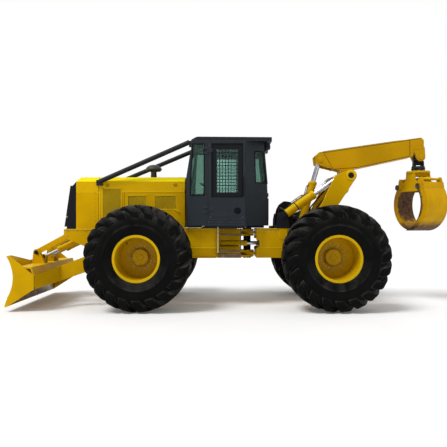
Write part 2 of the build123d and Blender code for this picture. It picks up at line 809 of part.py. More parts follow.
roof_inset = 20                 # in from the sides of the cab
roof_rear_x = -612
roof_fall = 10                  # lower at the rear than at the front
roof_lip = 22                   # the edge behind the cab, below the cab's top
roof_hang_x = cab_rear_high[0] - 27     # front face of the part that hangs down behind the cab
roof_hang = 145
with BuildPart() as cab_roof:
    roof_points = [
        (cab_front_high[0], cab_top + fit),
        (cab_front_high[0], cab_top + 26),
        (cab_front_high[0] - 121, roof_top),
        (roof_rear_x, roof_top - roof_fall),
        (roof_rear_x, cab_top - roof_lip),
        (roof_hang_x, cab_top - roof_lip),
        (roof_hang_x, cab_top + fit),
    ]
    extrude(outline(side_plane(), roof_points), amount=cab_half_width - roof_inset, both=True)
    roof_plan = [
        (cab_front_high[0] + 7, cab_half_width - roof_inset - 100),
        (cab_front_high[0] - 73, cab_half_width - roof_inset),
        (roof_rear_x, cab_half_width - roof_inset),
    ]
    roof_plan += [(x, -y) for x, y in reversed(roof_plan)]
    extrude(outline(Plane.XY.offset(cab_floor), roof_plan), amount=2000, mode=Mode.INTERSECT)
    hang_points = [
        (roof_rear_x, cab_top),
        (roof_rear_x, cab_top - roof_lip - 15),
        (roof_rear_x + 55, cab_top - roof_hang),
        (roof_hang_x, cab_top - roof_hang),
        (roof_hang_x, cab_top),
    ]
    extrude(outline(side_plane(), hang_points), amount=cab_rear_half_width, both=True)
save(cab_roof, "cab_roof")

# ---------------------------------------------------------------- glass that stays with the cab
pane_inset = 12                 # outer face of a pane, in from the outside of its wall
pane_back = pane_inset + glass
pane_middle_y = cab_half_width - pane_inset - glass / 2
with BuildPart() as cab_glass:
    width, bottom, top = windshield
    knee = Vector(*cab_front_knee)
    high = Vector(*cab_front_high)
    screen_points = []
    for z, depth in ((bottom, pane_inset), (top, pane_inset), (top, pane_back), (bottom, pane_back)):
        share = (z - knee.Y) / (high.Y - knee.Y)
        screen_points.append((knee.X + share * (high.X - knee.X) - depth, z))
    extrude(outline(side_plane(), screen_points), amount=width / 2, both=True)
    width, bottom, top = rear_window
    rear_points = []
    for z, depth in ((bottom, pane_inset), (top, pane_inset), (top, pane_back), (bottom, pane_back)):
        share = (z - cab_rear_knee[1]) / (cab_rear_high[1] - cab_rear_knee[1])
        rear_points.append((cab_rear_knee[0] + share * (cab_rear_high[0] - cab_rear_knee[0]) + depth, z))
    extrude(outline(side_plane(), rear_points), amount=width / 2, both=True)
    for side in SIDES.values():
        pane_y = side * pane_middle_y
        extrude(outline(side_plane(pane_y), front_quarter), amount=glass / 2, both=True)
        extrude(rear_quarter_sketch(side, pane_inset + glass / 2), amount=glass / 2, both=True)
save(cab_glass, "cab_glass")

# ---------------------------------------------------------------- doors
door_window = (482, -62, 2035, 2996)           # front x, rear x, bottom, top
for side_name, side in SIDES.items():
    door_y = side * (cab_half_width - cab_wall / 2)
    front, rear, bottom, top = door_window
    window_middle = ((front + rear) / 2, door_y, (bottom + top) / 2)
    with BuildPart() as door:
        with Locations((door_middle_x, door_y, door_middle_z)):
            Box(
                door_front_x - door_rear_x - 2 * door_gap,
                cab_wall,
                door_top - door_bottom - 2 * door_gap,
            )
        with Locations(window_middle):
            Box(front - rear, 2 * cab_wall, top - bottom, mode=Mode.SUBTRACT)
        radius, height = door_knuckle
        for z in door_hinge_heights:
            with Locations((door_hinge_x, side * door_knuckle_y, z)):
                Cylinder(radius, height)
            with Locations((door_front_x - 1, side * cab_half_width, z)):
                leaf_align = (Align.MAX, Align.MIN if side > 0 else Align.MAX, Align.CENTER)
                Box(84, door_hinge_out, height, align=leaf_align)
    save(door, f"door_{side_name}")

    with BuildPart() as door_glass:
        with Locations((window_middle[0], side * pane_middle_y, window_middle[2])):
            Box(front - rear, glass, top - bottom)
    save(door_glass, f"door_glass_{side_name}")

# ---------------------------------------------------------------- steps up to the cab
string_x = (-50, 380)
string_y = (560, 660)
treads = [(904, 76, 150), (1010, 40, 100), (1310, 40, 100)]     # bottom, height, depth
string_bottom = treads[0][0]
string_plate = 16
shelf_plate = 14
shelf_inner_y = 280
shelf_rear_x = 40
with BuildPart() as cab_steps:
    for side in SIDES.values():
        middle_y = side * sum(string_y) / 2
        for x in (string_x[0] + string_plate / 2, string_x[1] - string_plate / 2):
            with Locations((x, middle_y, (string_bottom + deck_top + shelf_plate) / 2)):
                Box(string_plate, string_y[1] - string_y[0], deck_top + shelf_plate - string_bottom)
        for bottom, height, depth in treads:
            with Locations((sum(string_x) / 2, middle_y, bottom + height / 2)):
                Box(string_x[1] - string_x[0], depth, height)
        # shelf that rests on the frame's upper deck
        shelf_middle_y = side * (shelf_inner_y + string_y[1]) / 2
        with Locations(((shelf_rear_x + string_x[1]) / 2, shelf_middle_y, deck_top + shelf_plate / 2)):
            Box(string_x[1] - shelf_rear_x, string_y[1] - shelf_inner_y, shelf_plate)
save(cab_steps, "cab_steps")

# ---------------------------------------------------------------- inside the cab
inside_floor = cab_floor + cab_wall
with BuildPart() as operator_seat:
    with Locations((120, 0, inside_floor + 120)):
        Box(360, 380, 240)
    with Locations((150, 0, inside_floor + 300)):
        Box(520, 520, 120)
    with BuildSketch(Plane(origin=(0, 0, 0), x_dir=(1, 0, 0), z_dir=(0, -1, 0))):
        with BuildLine():
            Polyline((-110, 1900), (20, 1900), (-50, 2560), (-150, 2560), close=True)
        make_face()
    extrude(amount=250, both=True)
    for side in SIDES.values():
        with Locations((130, side * 300, inside_floor + 470)):
            Box(340, 70, 50)
        with Locations((0, side * 300, inside_floor + 380)):
            Box(60, 60, 160)
        with Locations((0, side * 270, inside_floor + 330)):
            Box(60, 60, 60)
save(operator_seat, "operator_seat")

with BuildPart() as control_console:
    with Locations((770, 0, inside_floor + 210)):
        Box(220, 900, 420)
    with Locations((770, 0, inside_floor + 490)):
        Box(160, 620, 140)
    column = Plane(origin=(660, 0, inside_floor + 560), x_dir=(0, 1, 0), z_dir=(-0.55, 0, 0.84))
    with Locations(column):
        Cylinder(28, 300)
    with Locations(column.offset(150)):
        Cylinder(190, 28)
        Cylinder(160, 28, mode=Mode.SUBTRACT)
        Cylinder(45, 50)
        Box(330, 34, 20)
save(control_console, "control_console")

# ---------------------------------------------------------------- limb risers
riser_radius = 45
riser_low = (2600, hood_half_width + 50, 2330)
riser_high = (910, 620, 3056)
riser_foot = (110, 60, 104)     # block on the hood's side
riser_head = (44, 90, 110)      # block on the front of the cab
with BuildPart() as limb_risers:
    for side in SIDES.values():
        start = (riser_low[0], side * riser_low[1], riser_low[2])
        end_point = (riser_high[0], side * riser_high[1], riser_high[2])
        tube, length = between(start, end_point)
        with Locations(tube):
            Cylinder(riser_radius, length)
        foot_y = side * (hood_half_width + fit + riser_foot[1] / 2)
        with Locations((riser_low[0] + 12, foot_y, hood_shoulder - 24)):
            Box(*riser_foot)
        with Locations((cab_front_high[0] + fit + riser_head[0] / 2, side * riser_high[1], cab_top - 50)):
            Box(*riser_head)
save(limb_risers, "limb_risers")

# ---------------------------------------------------------------- blade
blade_half = blade_width / 2
blade_tip = (4084, 87)
blade_top = (4053, 976)
blade_hollow = (3938, 636)
blade_dip = (400, 848)          # half width and height of the lowered middle of the top edge
cheek_plate = 24
cheek_heel = (4050, 87)
cheek_front = (4050, 200)
back_top = (3572, 635)
back_bottom = (3572, 393)
curve_low = (4040, 240)
blade_ear_y = (frame_inner - 80, frame_inner - 15)      # two plates of each ear, middle
ear_thickness = 20
ear_root = (3790, 760)          # where ears and lugs grow out of the blade's back
lug_plate = 16
link_pin_radius = 26
blade_rod_pin = (3740, 900)
blade_cylinder_y = blade_ear_y[0] - 110

with BuildPart() as blade_moldboard:
    # curved plate, its top edge dipping towards the middle
    rear_points = [(x - blade_plate, z) for x, z in (blade_top, blade_hollow, curve_low)]
    with BuildSketch(side_plane()):
        with BuildLine():
            ThreePointArc(curve_low, blade_hollow, blade_top)
            Line(blade_top, rear_points[0])
            ThreePointArc(*rear_points)
            Line(rear_points[2], curve_low)
        make_face()
    extrude(amount=blade_half, both=True)
    dip_half, dip_z = blade_dip
    dip = outline(
        lengthways(blade_top[0], 0, 0),
        [
            (-blade_half + 120, blade_top[1] + 14),
            (-dip_half, dip_z),
            (dip_half, dip_z),
            (blade_half - 120, blade_top[1] + 14),
        ],
    )
    extrude(dip, amount=300, both=True, mode=Mode.SUBTRACT)
    # cheeks at the ends
    cheek_points = [
        blade_top,
        (blade_top[0] - 60, blade_top[1]),
        back_top,
        back_bottom,
        cheek_heel,
        blade_tip,
        cheek_front,
    ]
    for side in SIDES.values():
        with BuildSketch(side_plane(side * (blade_half - cheek_plate / 2))):
            with BuildLine():
                ThreePointArc(cheek_front, blade_hollow, blade_top)
                Polyline(*cheek_points)
            make_face()
        extrude(amount=cheek_plate / 2, both=True)
    # folded plate that stiffens the back, open below
    box_points = [
        (3930, 780),
        (3620, 780),
        back_top,
        (back_top[0], 430),
        (3600, 430),
        (3600, 632),
        (3640, 752),
        (3922, 752),
    ]
    extrude(outline(side_plane(), box_points), amount=blade_half - cheek_plate, both=True)
    # ears for the upper links, and lugs for the cylinders' rods
    for side in SIDES.values():
        for y in blade_ear_y:
            ear = rounded_bar(side_plane(side * y), (*link_pin, 60), (*ear_root, 120))
            extrude(ear, amount=ear_thickness / 2, both=True)
        for offset in (-1, 1):
            lug_y = side * (blade_cylinder_y + offset * (eye_half + running + lug_plate / 2))
            lug = rounded_bar(side_plane(lug_y), (*blade_rod_pin, 55), (*ear_root, 90))
            extrude(lug, amount=lug_plate / 2, both=True)
            with Locations(across(blade_rod_pin[0], lug_y + side * offset * 12, blade_rod_pin[1])):
                Cylinder(30, 16)
        with Locations(across(link_pin[0], side * sum(blade_ear_y) / 2, link_pin[1])):
            Cylinder(link_pin_radius, blade_ear_y[1] - blade_ear_y[0] + ear_thickness + 20)
save(blade_moldboard, "blade_moldboard")

with BuildPart() as cutting_edge:
    edge_top = curve_low[1]
    edge_points = [
        blade_tip,
        (curve_low[0] + 1, edge_top),
        (curve_low[0] - blade_plate, edge_top),
        (blade_tip[0] - 24, blade_tip[1]),
    ]
    extrude(outline(side_plane(), edge_points), amount=blade_half - cheek_plate - fit, both=True)
save(cutting_edge, "cutting_edge")

arm_bend = (3277, 762, 485)     # where an arm turns outward: x, top, bottom
arm_end_y = blade_half - 150
arm_points = [
    arm_bend[:2],
    (2825, 936),
    (blade_pivot[0], blade_pivot[1] + 110),
    (blade_pivot[0], blade_pivot[1] - 110),
    (2800, 650),
    (arm_bend[0], arm_bend[2]),
]
with BuildPart() as blade_arms:
    for side in SIDES.values():
        # straight stretch beside the frame, round the trunnion
        straight = outline(side_plane(side * blade_arm_y), arm_points)
        extrude(straight, amount=blade_arm_thickness / 2, both=True)
        with Locations(across(blade_pivot[0], side * blade_arm_y, blade_pivot[1])):
            Cylinder(110, blade_arm_thickness)
        # stretch that runs out to the blade's cheek
        bend_x, bend_top, bend_bottom = arm_bend
        with BuildSketch(lengthways(bend_x, side * blade_arm_y, (bend_top + bend_bottom) / 2)):
            Rectangle(blade_arm_thickness, bend_top - bend_bottom)
        end_z = (back_top[1] + back_bottom[1]) / 2
        with BuildSketch(lengthways(back_top[0] - fit, side * arm_end_y, end_z)):
            Rectangle(blade_arm_thickness + 60, back_top[1] - back_bottom[1])
        loft()
        with Locations(across(blade_pivot[0], side * blade_arm_y, blade_pivot[1])):
            Cylinder(blade_pin_radius + fit, 2 * blade_arm_thickness, mode=Mode.SUBTRACT)
save(blade_arms, "blade_arms")

# ---------------------------------------------------------------- upper links of the blade
link_nose_end = (3190, 1340)
with BuildPart() as blade_links:
    for side in SIDES.values():
        link_middle = side * sum(blade_ear_y) / 2
        link = rounded_bar(side_plane(link_middle), (*link_pin, 50), (*link_nose_end, 50))
        extrude(link, amount=link_thickness / 2, both=True)
        with Locations(across(link_pin[0], link_middle, link_pin[1])):
            Cylinder(link_pin_radius + fit, 2 * link_thickness, mode=Mode.SUBTRACT)
save(blade_links, "blade_links")

# ---------------------------------------------------------------- arch
arch_leg_middle = arch_leg_inner + arch_leg_thickness / 2
arch_beam = (-1988, 2202)       # cross tube near the top of the legs
arch_beam_radius = 110
boom_ear_thickness = 40
boom_ear_y = boom_half_width + 10 + boom_ear_thickness / 2
boom_pin_radius = 45
with BuildPart() as arch:
    for side in SIDES.values():
        # leg with its shoulder for the arch cylinder, boss, and lug for the boom cylinders' shaft
        lobes = [
            ((*arch_pivot, 95), (*arch_rod_pin, 62), (*boom_pivot, 110)),
            ((*arch_pivot, 170), (arch_pivot[0] - 150, arch_pivot[1] + 260, 130)),
            ((*arch_pivot, 110), (*boom_cylinder_base, 75)),
        ]
        for circles in lobes:
            bar = rounded_bar(side_plane(side * arch_leg_middle), *circles)
            extrude(bar, amount=arch_leg_thickness / 2, both=True)
        ear = rounded_bar(side_plane(side * boom_ear_y), (*arch_beam, arch_beam_radius), (*boom_pivot, 105))
        extrude(ear, amount=boom_ear_thickness / 2, both=True)
        with Locations(across(arch_pivot[0], side * arch_leg_middle, arch_pivot[1])):
            Cylinder(arch_pin_radius + fit, 2 * arch_leg_thickness, mode=Mode.SUBTRACT)
    with Locations(across(arch_beam[0], 0, arch_beam[1])):
        Cylinder(arch_beam_radius, 2 * arch_leg_inner)
    with Locations(across(boom_pivot[0], 0, boom_pivot[1])):
        Cylinder(boom_pin_radius, 2 * arch_leg_inner)
    with Locations(across(boom_cylinder_base[0], 0, boom_cylinder_base[1])):
        Cylinder(cross_shaft_radius, 2 * arch_leg_inner)
save(arch, "arch")

# ---------------------------------------------------------------- boom
boom_outline = [
    (-1530, 2700),
    (-1510, 2850),
    (-1590, 2930),
    (-3573, 3215),
    (-3626, 3160),
    (-3626, 2990),
    (-3450, 2960),
    (-3400, 2842),
    (-2330, 2612),
    (-1996, 2572),
    (-1700, 2640),
]
boom_room = [
    (-1560, 2740),
    (-1550, 2840),
    (-1620, 2905),
    (-3560, 3190),
    (-3600, 3140),
    (-3600, 3012),
    (-3430, 2984),
    (-3380, 2868),
    (-2330, 2640),
    (-2000, 2600),
]
# open underside and end of the tail, where the cylinders' rods come in between the side plates
boom_mouth = [
    (-1450, 2500),
    (-1450, 2855),
    (-1620, 2905),
    (-1860, 2800),
    (-1860, 2500),
]
hang_cheek = 70                 # cheeks that hold the grapple's pin
fork_half_gap = boom_half_width - hang_cheek
hang_pin_radius = 35
hang_cheek_y = boom_half_width - hang_cheek / 2
with BuildPart() as boom:
    extrude(outline(side_plane(), boom_outline), amount=boom_half_width, both=True)
    extrude(
        outline(side_plane(), boom_room),
        amount=boom_half_width - boom_wall,
        both=True,
        mode=Mode.SUBTRACT,
    )
    extrude(
        outline(side_plane(), boom_mouth),
        amount=boom_half_width - boom_wall,
        both=True,
        mode=Mode.SUBTRACT,
    )
    # way in for the hoses, underneath
    with Locations((-2700, 0, 2700)):
        Cylinder(60, 120, mode=Mode.SUBTRACT)
    hub = rounded_bar(side_plane(), (*boom_pivot, 95), (boom_pivot[0], 2620, 130))
    extrude(hub, amount=boom_half_width, both=True)
    with Locations(across(boom_pivot[0], 0, boom_pivot[1])):
        Cylinder(boom_pin_radius + fit, 3 * boom_half_width, mode=Mode.SUBTRACT)
    for side in SIDES.values():
        cheek = rounded_bar(
            side_plane(side * hang_cheek_y),
            (grapple_x, hang_pin_z, 80),
            (grapple_x + 40, hang_pin_z + 153, 110),
        )
        extrude(cheek, amount=hang_cheek / 2, both=True)
        with Locations(across(grapple_x, side * hang_cheek_y, hang_pin_z)):
            Cylinder(hang_pin_radius + fit, 2 * hang_cheek, mode=Mode.SUBTRACT)
save(boom, "boom")

# ---------------------------------------------------------------- grapple, hanging straight down
grapple_turned = radians(grapple_turn)
log_axis = Vector(cos(grapple_turned), sin(grapple_turned), 0)
spread_axis = Vector(-sin(grapple_turned), cos(grapple_turned), 0)


def grapple_plane(along_logs):
    """Plane square to the logs at a distance along them; its axes are spread and height."""
    return Plane(origin=Vector(grapple_x, 0, 0) + log_axis * along_logs, x_dir=spread_axis, z_dir=log_axis)


def grapple_point(along_logs, spread, z):
    """Point in the machine's frame from the grapple's own coordinates."""
    return Vector(grapple_x, 0, z) + log_axis * along_logs + spread_axis * spread


swing_barrel_half = fork_half_gap - running
sway_radius = 45
sway_pin_radius = 30
with BuildPart() as grapple_swing_link:
    with Locations(across(grapple_x, 0, hang_pin_z)):
        Cylinder(60, 2 * swing_barrel_half)
        Cylinder(hang_pin_radius, 2 * boom_half_width)
    with Locations(lengthways(grapple_x, 0, sway_pin_z)):
        Cylinder(sway_radius, 110)
        Cylinder(sway_pin_radius, 200)
    with Locations((grapple_x, 0, (hang_pin_z + sway_pin_z) / 2)):
        Box(100, 80, hang_pin_z - sway_pin_z)
save(grapple_swing_link, "grapple_swing_link")

yoke_x = 80
yoke_thickness = 36
rotator_top = 2665
rotator_bottom = 2566
with BuildPart() as grapple_rotator:
    for end_side in (-1, 1):
        yoke = rounded_bar(
            lengthways(grapple_x + end_side * yoke_x, 0, 0), (0, sway_pin_z, 52), (0, rotator_top, 60)
        )
        extrude(yoke, amount=yoke_thickness / 2, both=True)
        with Locations(lengthways(grapple_x + end_side * yoke_x, 0, sway_pin_z)):
            Cylinder(sway_pin_radius + fit, 2 * yoke_thickness, mode=Mode.SUBTRACT)
    with Locations((grapple_x, 0, (rotator_top + rotator_bottom) / 2)):
        Cylinder(125, rotator_top - rotator_bottom)
save(grapple_rotator, "grapple_rotator")

head_plate_x = 185              # side plates of the head, either side of the middle tong
head_plate = 32
head_top = rotator_bottom - fit
turntable = 35                  # thickness of the round plate under the rotator
turntable_radius = head_plate_x + 40
lever_reach = (45, 140)         # lever's cylinder pin from the tong's own pin (spread, height)
tong_pin_radius = 35
head_outline = [
    (-110, 2540),
    (110, 2540),
    (130, 2380),
    (355, 2300),
    (370, 2230),
    (300, 2170),
    (-300, 2170),
    (-370, 2230),
    (-355, 2300),
    (-130, 2380),
]
with BuildPart() as grapple_head:
    with Locations((grapple_x, 0, head_top - turntable / 2)):
        Cylinder(turntable_radius, turntable)
    for end_side in (-1, 1):
        side_of_head = outline(grapple_plane(end_side * head_plate_x), head_outline)
        extrude(side_of_head, amount=head_plate / 2, both=True)
        for spread in (-tong_pin_spacing / 2, tong_pin_spacing / 2):
            pin_middle = grapple_point(end_side * (head_plate_x + 43), spread, tong_pin_z)
            with Locations(Plane(origin=pin_middle, x_dir=spread_axis, z_dir=log_axis)):
                Cylinder(tong_pin_radius, 90)
    for spread in (-tong_pin_spacing / 2, tong_pin_spacing / 2):
        pin_middle = grapple_point(0, spread, tong_pin_z)
        with Locations(Plane(origin=pin_middle, x_dir=spread_axis, z_dir=log_axis)):
            Cylinder(tong_pin_radius, 2 * head_plate_x)
    # wall that ties the plates together under the rotator, open for the cylinder
    for spread in (-80, 80):
        with Locations(Plane(origin=grapple_point(0, spread, 2500), x_dir=log_axis, z_dir=(0, 0, 1))):
            Box(2 * head_plate_x, 20, 60)
save(grapple_head, "grapple_head")

# each tong: name, side of the head, tines as (offset along the logs, thickness)
middle_tine = 2 * (head_plate_x - head_plate / 2 - running)
outer_tine = 46
outer_offset = head_plate_x + head_plate / 2 + running + outer_tine / 2
TONGS = [
    ("tong_left", 1, [(-outer_offset, outer_tine), (outer_offset, outer_tine)]),
    ("tong_right", -1, [(0, middle_tine)]),
]
tong_inner_radius = tong_radius - 160
tip_angle = -97
pin_spread = tong_pin_spacing / 2
tie_radius = 38                 # tubes that join the two outer tines
tie_reach = tong_radius - 55
skin_thickness = 22             # curved plate over the outer tines
skin_angles = (-74, 34)


def ring_point(hand, radius, angle):
    """Point (spread, height) on a circle about the middle of the closed tongs."""
    return (hand * radius * cos(radians(angle)), tong_centre_z + radius * sin(radians(angle)))


for name, hand, tines in TONGS:
    with BuildPart() as tong:
        for offset, thickness in tines:
            with BuildSketch(grapple_plane(offset)):
                with BuildLine():
                    outer = ThreePointArc(
                        ring_point(hand, tong_radius, tip_angle),
                        ring_point(hand, tong_radius, -20),
                        ring_point(hand, tong_radius, 40),
                    )
                    lever_x = pin_spread + lever_reach[0]
                    lever_z = tong_pin_z + lever_reach[1]
                    inner_top = ring_point(hand, tong_inner_radius, 30)
                    Polyline(
                        outer @ 1,
                        (hand * (lever_x + 45), lever_z - 15),
                        (hand * (lever_x + 24), lever_z + 36),
                        (hand * (lever_x - 34), lever_z + 30),
                        (hand * (pin_spread - 62), tong_pin_z),
                        (hand * (pin_spread - 30), tong_pin_z - 62),
                        inner_top,
                    )
                    inner = ThreePointArc(
                        inner_top,
                        ring_point(hand, tong_inner_radius, -30),
                        ring_point(hand, tong_radius - 50, tip_angle + 14),
                    )
                    Line(inner @ 1, outer @ 0)
                make_face()
            extrude(amount=thickness / 2, both=True)
        if len(tines) > 1:
            for angle in (5, -35):
                tie_middle = grapple_point(0, *ring_point(hand, tie_reach, angle))
                with Locations(Plane(origin=tie_middle, x_dir=spread_axis, z_dir=log_axis)):
                    Cylinder(tie_radius, 2 * outer_offset)
            skin_middle = sum(skin_angles) / 2
            with BuildSketch(grapple_plane(0)):
                with BuildLine():
                    skin_out = ThreePointArc(
                        ring_point(hand, tong_radius, skin_angles[0]),
                        ring_point(hand, tong_radius, skin_middle),
                        ring_point(hand, tong_radius, skin_angles[1]),
                    )
                    skin_in = ThreePointArc(
                        ring_point(hand, tong_radius - skin_thickness, skin_angles[1]),
                        ring_point(hand, tong_radius - skin_thickness, skin_middle),
                        ring_point(hand, tong_radius - skin_thickness, skin_angles[0]),
                    )
                    Line(skin_out @ 1, skin_in @ 0)
                    Line(skin_in @ 1, skin_out @ 0)
                make_face()
            extrude(amount=outer_offset, both=True)
        else:
            # slot in the lever for the cylinder's eye
            slot_middle = grapple_point(0, hand * (pin_spread + 20), tong_pin_z + lever_reach[1] + 20)
            with Locations(Plane(origin=slot_middle, x_dir=spread_axis, z_dir=log_axis)):
                Box(300, 2 * (lever_reach[1] - 30), 2 * (eye_half + running), mode=Mode.SUBTRACT)
        pin_plane = Plane(
            origin=grapple_point(0, hand * pin_spread, tong_pin_z), x_dir=spread_axis, z_dir=log_axis
        )
        with Locations(pin_plane):
            Cylinder(tong_pin_radius + fit, 3 * outer_offset, mode=Mode.SUBTRACT)
    save(tong, name)

# ---------------------------------------------------------------- hydraulic cylinders
left_front = Vector(steering_front_pin[0], steering_front_pin[1], steering_z)
left_rear = Vector(steering_rear_pin[0], steering_rear_pin[1], steering_z)
blade_base = Vector(blade_cylinder_base[0], blade_cylinder_y, blade_cylinder_base[1])
blade_eye = Vector(blade_rod_pin[0], blade_cylinder_y, blade_rod_pin[1])
arch_base = Vector(arch_cylinder_base[0], arch_cylinder_y, arch_cylinder_base[1])
arch_eye = Vector(arch_rod_pin[0], arch_cylinder_y, arch_rod_pin[1])
boom_base = Vector(boom_cylinder_base[0], boom_cylinder_y, boom_cylinder_base[1])
boom_eye = Vector(boom_tail_pin[0], boom_cylinder_y, boom_tail_pin[1])
tong_lever = pin_spread + lever_reach[0]
grapple_base = grapple_point(0, tong_lever, tong_pin_z + lever_reach[1])
grapple_eye = grapple_point(0, -tong_lever, tong_pin_z + lever_reach[1])
up = Vector(0, 0, 1)
to_left = Vector(0, 1, 0)
tine_room = outer_offset - outer_tine / 2
held = 0.5                      # the end of a rod's pin, short of the plate that holds it
slack = eye_half + running - held

# Columns: pins (base, rod), direction of the pins, bore at the base, half width of the base eye,
# where the barrel starts and ends, radii of barrel and rod, length of the rod, and how far the
# rod's own pin reaches from the middle of its eye (inward, outward).
CYLINDERS = {
    "blade": (blade_base, blade_eye, to_left, 40, eye_half, (52, 590), (56, 30), 420, (slack, slack)),
    "arch": (arch_base, arch_eye, to_left, 35, eye_half, (82, 730), arch_cylinder_radii, 745,
             (eye_half, arch_leg_inner - arch_cylinder_y - held)),
    "boom": (boom_base, boom_eye, to_left, 40, eye_half, (52, 950), boom_cylinder_radii, 870,
             (boom_cylinder_y - held, boom_half_width - boom_wall - boom_cylinder_y - held)),
    "steering": (left_front, left_rear, up, 22, steering_eye_half, (34, 560), (47, 28), 545,
                 (steering_eye_half + running - held, steering_eye_half + running - held)),
    "grapple": (grapple_base, grapple_eye, log_axis, 0, eye_half, (30, tong_lever + 15), (50, 28),
                tong_lever + 26, (slack, slack)),
}
# one node for a pair that moves as one body, and one for each steering cylinder
GROUPS = {
    "blade": {"s": (1, -1)},
    "arch": {"s": (1, -1)},
    "boom": {"s": (1, -1)},
    "steering": {"_left": (1,), "_right": (-1,)},
    "grapple": {"": (1,)},
}
for name, columns in CYLINDERS.items():
    base, eye, pin_axis, bore, half_base_eye, span, radii, rod_length, pin_reach = columns
    barrel_radius, rod_radius = radii
    eye_radius = rod_radius + 20
    for suffix, sides in GROUPS[name].items():
        with BuildPart() as barrel:
            for side in sides:
                a = Vector(base.X, side * base.Y, base.Z)
                b = Vector(eye.X, side * eye.Y, eye.Z)
                along = (b - a).normalized()
                tube, tube_length = between(a + along * span[0], a + along * span[1])
                neck, neck_length = between(a, a + along * (span[0] + 1))
                room, room_length = between(a + along * (bore + 50), a + along * (span[1] + 1))
                pin = Plane(origin=a, z_dir=pin_axis)
                with Locations(tube):
                    Cylinder(barrel_radius, tube_length)
                with Locations(neck):
                    Cylinder(half_base_eye - 3, neck_length)
                with Locations(pin):
                    Cylinder(bore + 28, 2 * half_base_eye)
                if bore:
                    with Locations(pin):
                        Cylinder(bore + fit, 4 * barrel_radius, mode=Mode.SUBTRACT)
                else:
                    with Locations(pin):
                        Cylinder(24, 2 * (tine_room - held))
                with Locations(room):
                    Cylinder(rod_radius + fit, room_length, mode=Mode.SUBTRACT)
        save(barrel, f"{name}_barrel{suffix}")

        with BuildPart() as rod:
            for side in sides:
                a = Vector(base.X, side * base.Y, base.Z)
                b = Vector(eye.X, side * eye.Y, eye.Z)
                along = (b - a).normalized()
                stem, stem_length = between(b - along * rod_length, b)
                inward, outward = pin_reach
                outward_axis = pin_axis * side if pin_axis == to_left else pin_axis
                pin, pin_length = between(b - outward_axis * inward, b + outward_axis * outward)
                with Locations(stem):
                    Cylinder(rod_radius, stem_length)
                with Locations(Plane(origin=b, z_dir=pin_axis)):
                    Cylinder(eye_radius, 2 * eye_half)
                with Locations(pin):
                    Cylinder(rod_radius - 6, pin_length)
        save(rod, f"{name}_rod{suffix}")


# ---------------------------------------------------------------- valve bank and hoses behind the cab
valve_x = (-1045, -965)
valve_top = 1600
valve_width = 460
manifold = 60                   # square block that the hoses start from
with BuildPart() as valve_bank:
    with Locations((sum(valve_x) / 2, 0, (deck_top + valve_top) / 2)):
        Box(valve_x[1] - valve_x[0], valve_width, valve_top - deck_top)
    with Locations((hose_start_x + manifold / 2, 0, deck_top + manifold / 2)):
        Box(manifold, valve_width, manifold)
save(valve_bank, "valve_bank")

hose_radius = 17
# distance left of the middle, height of the hump, how far forward it climbs
hose_rows = [(-165, 1960, 15), (-55, 1915, -10), (55, 1975, 0), (165, 1890, -20)]
hose_end_x = sum(valve_x) / 2
with BuildPart() as hydraulic_hoses:
    for y, hump, forward in hose_rows:
        corners = [
            (hose_start_x - fit, y, deck_top + 32),
            (-795, y, deck_top + 32),
            (-845 + forward, y, hump),
            (hose_end_x, y, hump),
            (hose_end_x, y, valve_top + fit),
        ]
        radii = []
        for before, corner, after in zip(corners, corners[1:], corners[2:]):
            run_in = Vector(*corner) - Vector(*before)
            run_out = Vector(*after) - Vector(*corner)
            turn = radians(run_in.get_angle(run_out))
            shorter = min(run_in.length, run_out.length)
            radii.append(0.45 * shorter / tan(turn / 2))
        with BuildLine() as route:
            FilletPolyline(*corners, radius=radii)
        with BuildSketch(Plane(origin=route.line @ 0, z_dir=route.line % 0)):
            Circle(hose_radius)
        sweep(path=route.line)
save(hydraulic_hoses, "hydraulic_hoses")
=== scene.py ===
"""Looks of an articulated grapple skidder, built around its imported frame.

The frame is +X forward, +Y to the machine's left, +Z up, in metres.  Each sub-assembly is a
class that holds its sizes, builds its meshes and dresses them and the frame's own nodes.
"""
import logging
import math
from dataclasses import dataclass
from enum import Enum
from typing import ClassVar, Iterable, Sequence

import bmesh
import bpy
from mathutils import Matrix, Vector


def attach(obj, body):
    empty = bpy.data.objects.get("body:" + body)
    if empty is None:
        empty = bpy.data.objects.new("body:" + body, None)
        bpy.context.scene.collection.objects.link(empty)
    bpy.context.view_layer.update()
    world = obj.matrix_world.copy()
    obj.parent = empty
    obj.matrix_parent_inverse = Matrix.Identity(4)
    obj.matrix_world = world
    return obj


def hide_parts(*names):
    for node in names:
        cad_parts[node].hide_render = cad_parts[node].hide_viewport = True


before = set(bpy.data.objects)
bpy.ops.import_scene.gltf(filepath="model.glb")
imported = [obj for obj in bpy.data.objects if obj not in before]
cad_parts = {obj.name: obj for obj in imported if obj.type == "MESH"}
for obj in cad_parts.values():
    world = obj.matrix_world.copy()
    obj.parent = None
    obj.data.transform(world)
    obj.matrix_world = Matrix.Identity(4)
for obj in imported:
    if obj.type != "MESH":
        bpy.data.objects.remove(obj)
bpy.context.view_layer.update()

LOG = logging.getLogger("skidder")
Point = tuple[float, float, float]
Tone = tuple[float, float, float]
Pair = tuple[float, float]
Quad = tuple[float, float, float, float]
Socket = bpy.types.NodeSocket
FRONT, REAR = "front_machine", "rear_machine"
AHEAD, ACROSS, UP = (1, 0, 0), (0, 1, 0), (0, 0, 1)
AXLE_HEIGHT = 0.935
PIVOT_X = -0.188
SEAL_SECTION = (0.02, 0.012)
JOINT_SECTION = (0.007, 0.003)
GAP_SECTION = (0.006, 0.0024)


class Side(Enum):
    """The two sides of the machine, as the sign of Y."""

    LEFT = 1
    RIGHT = -1


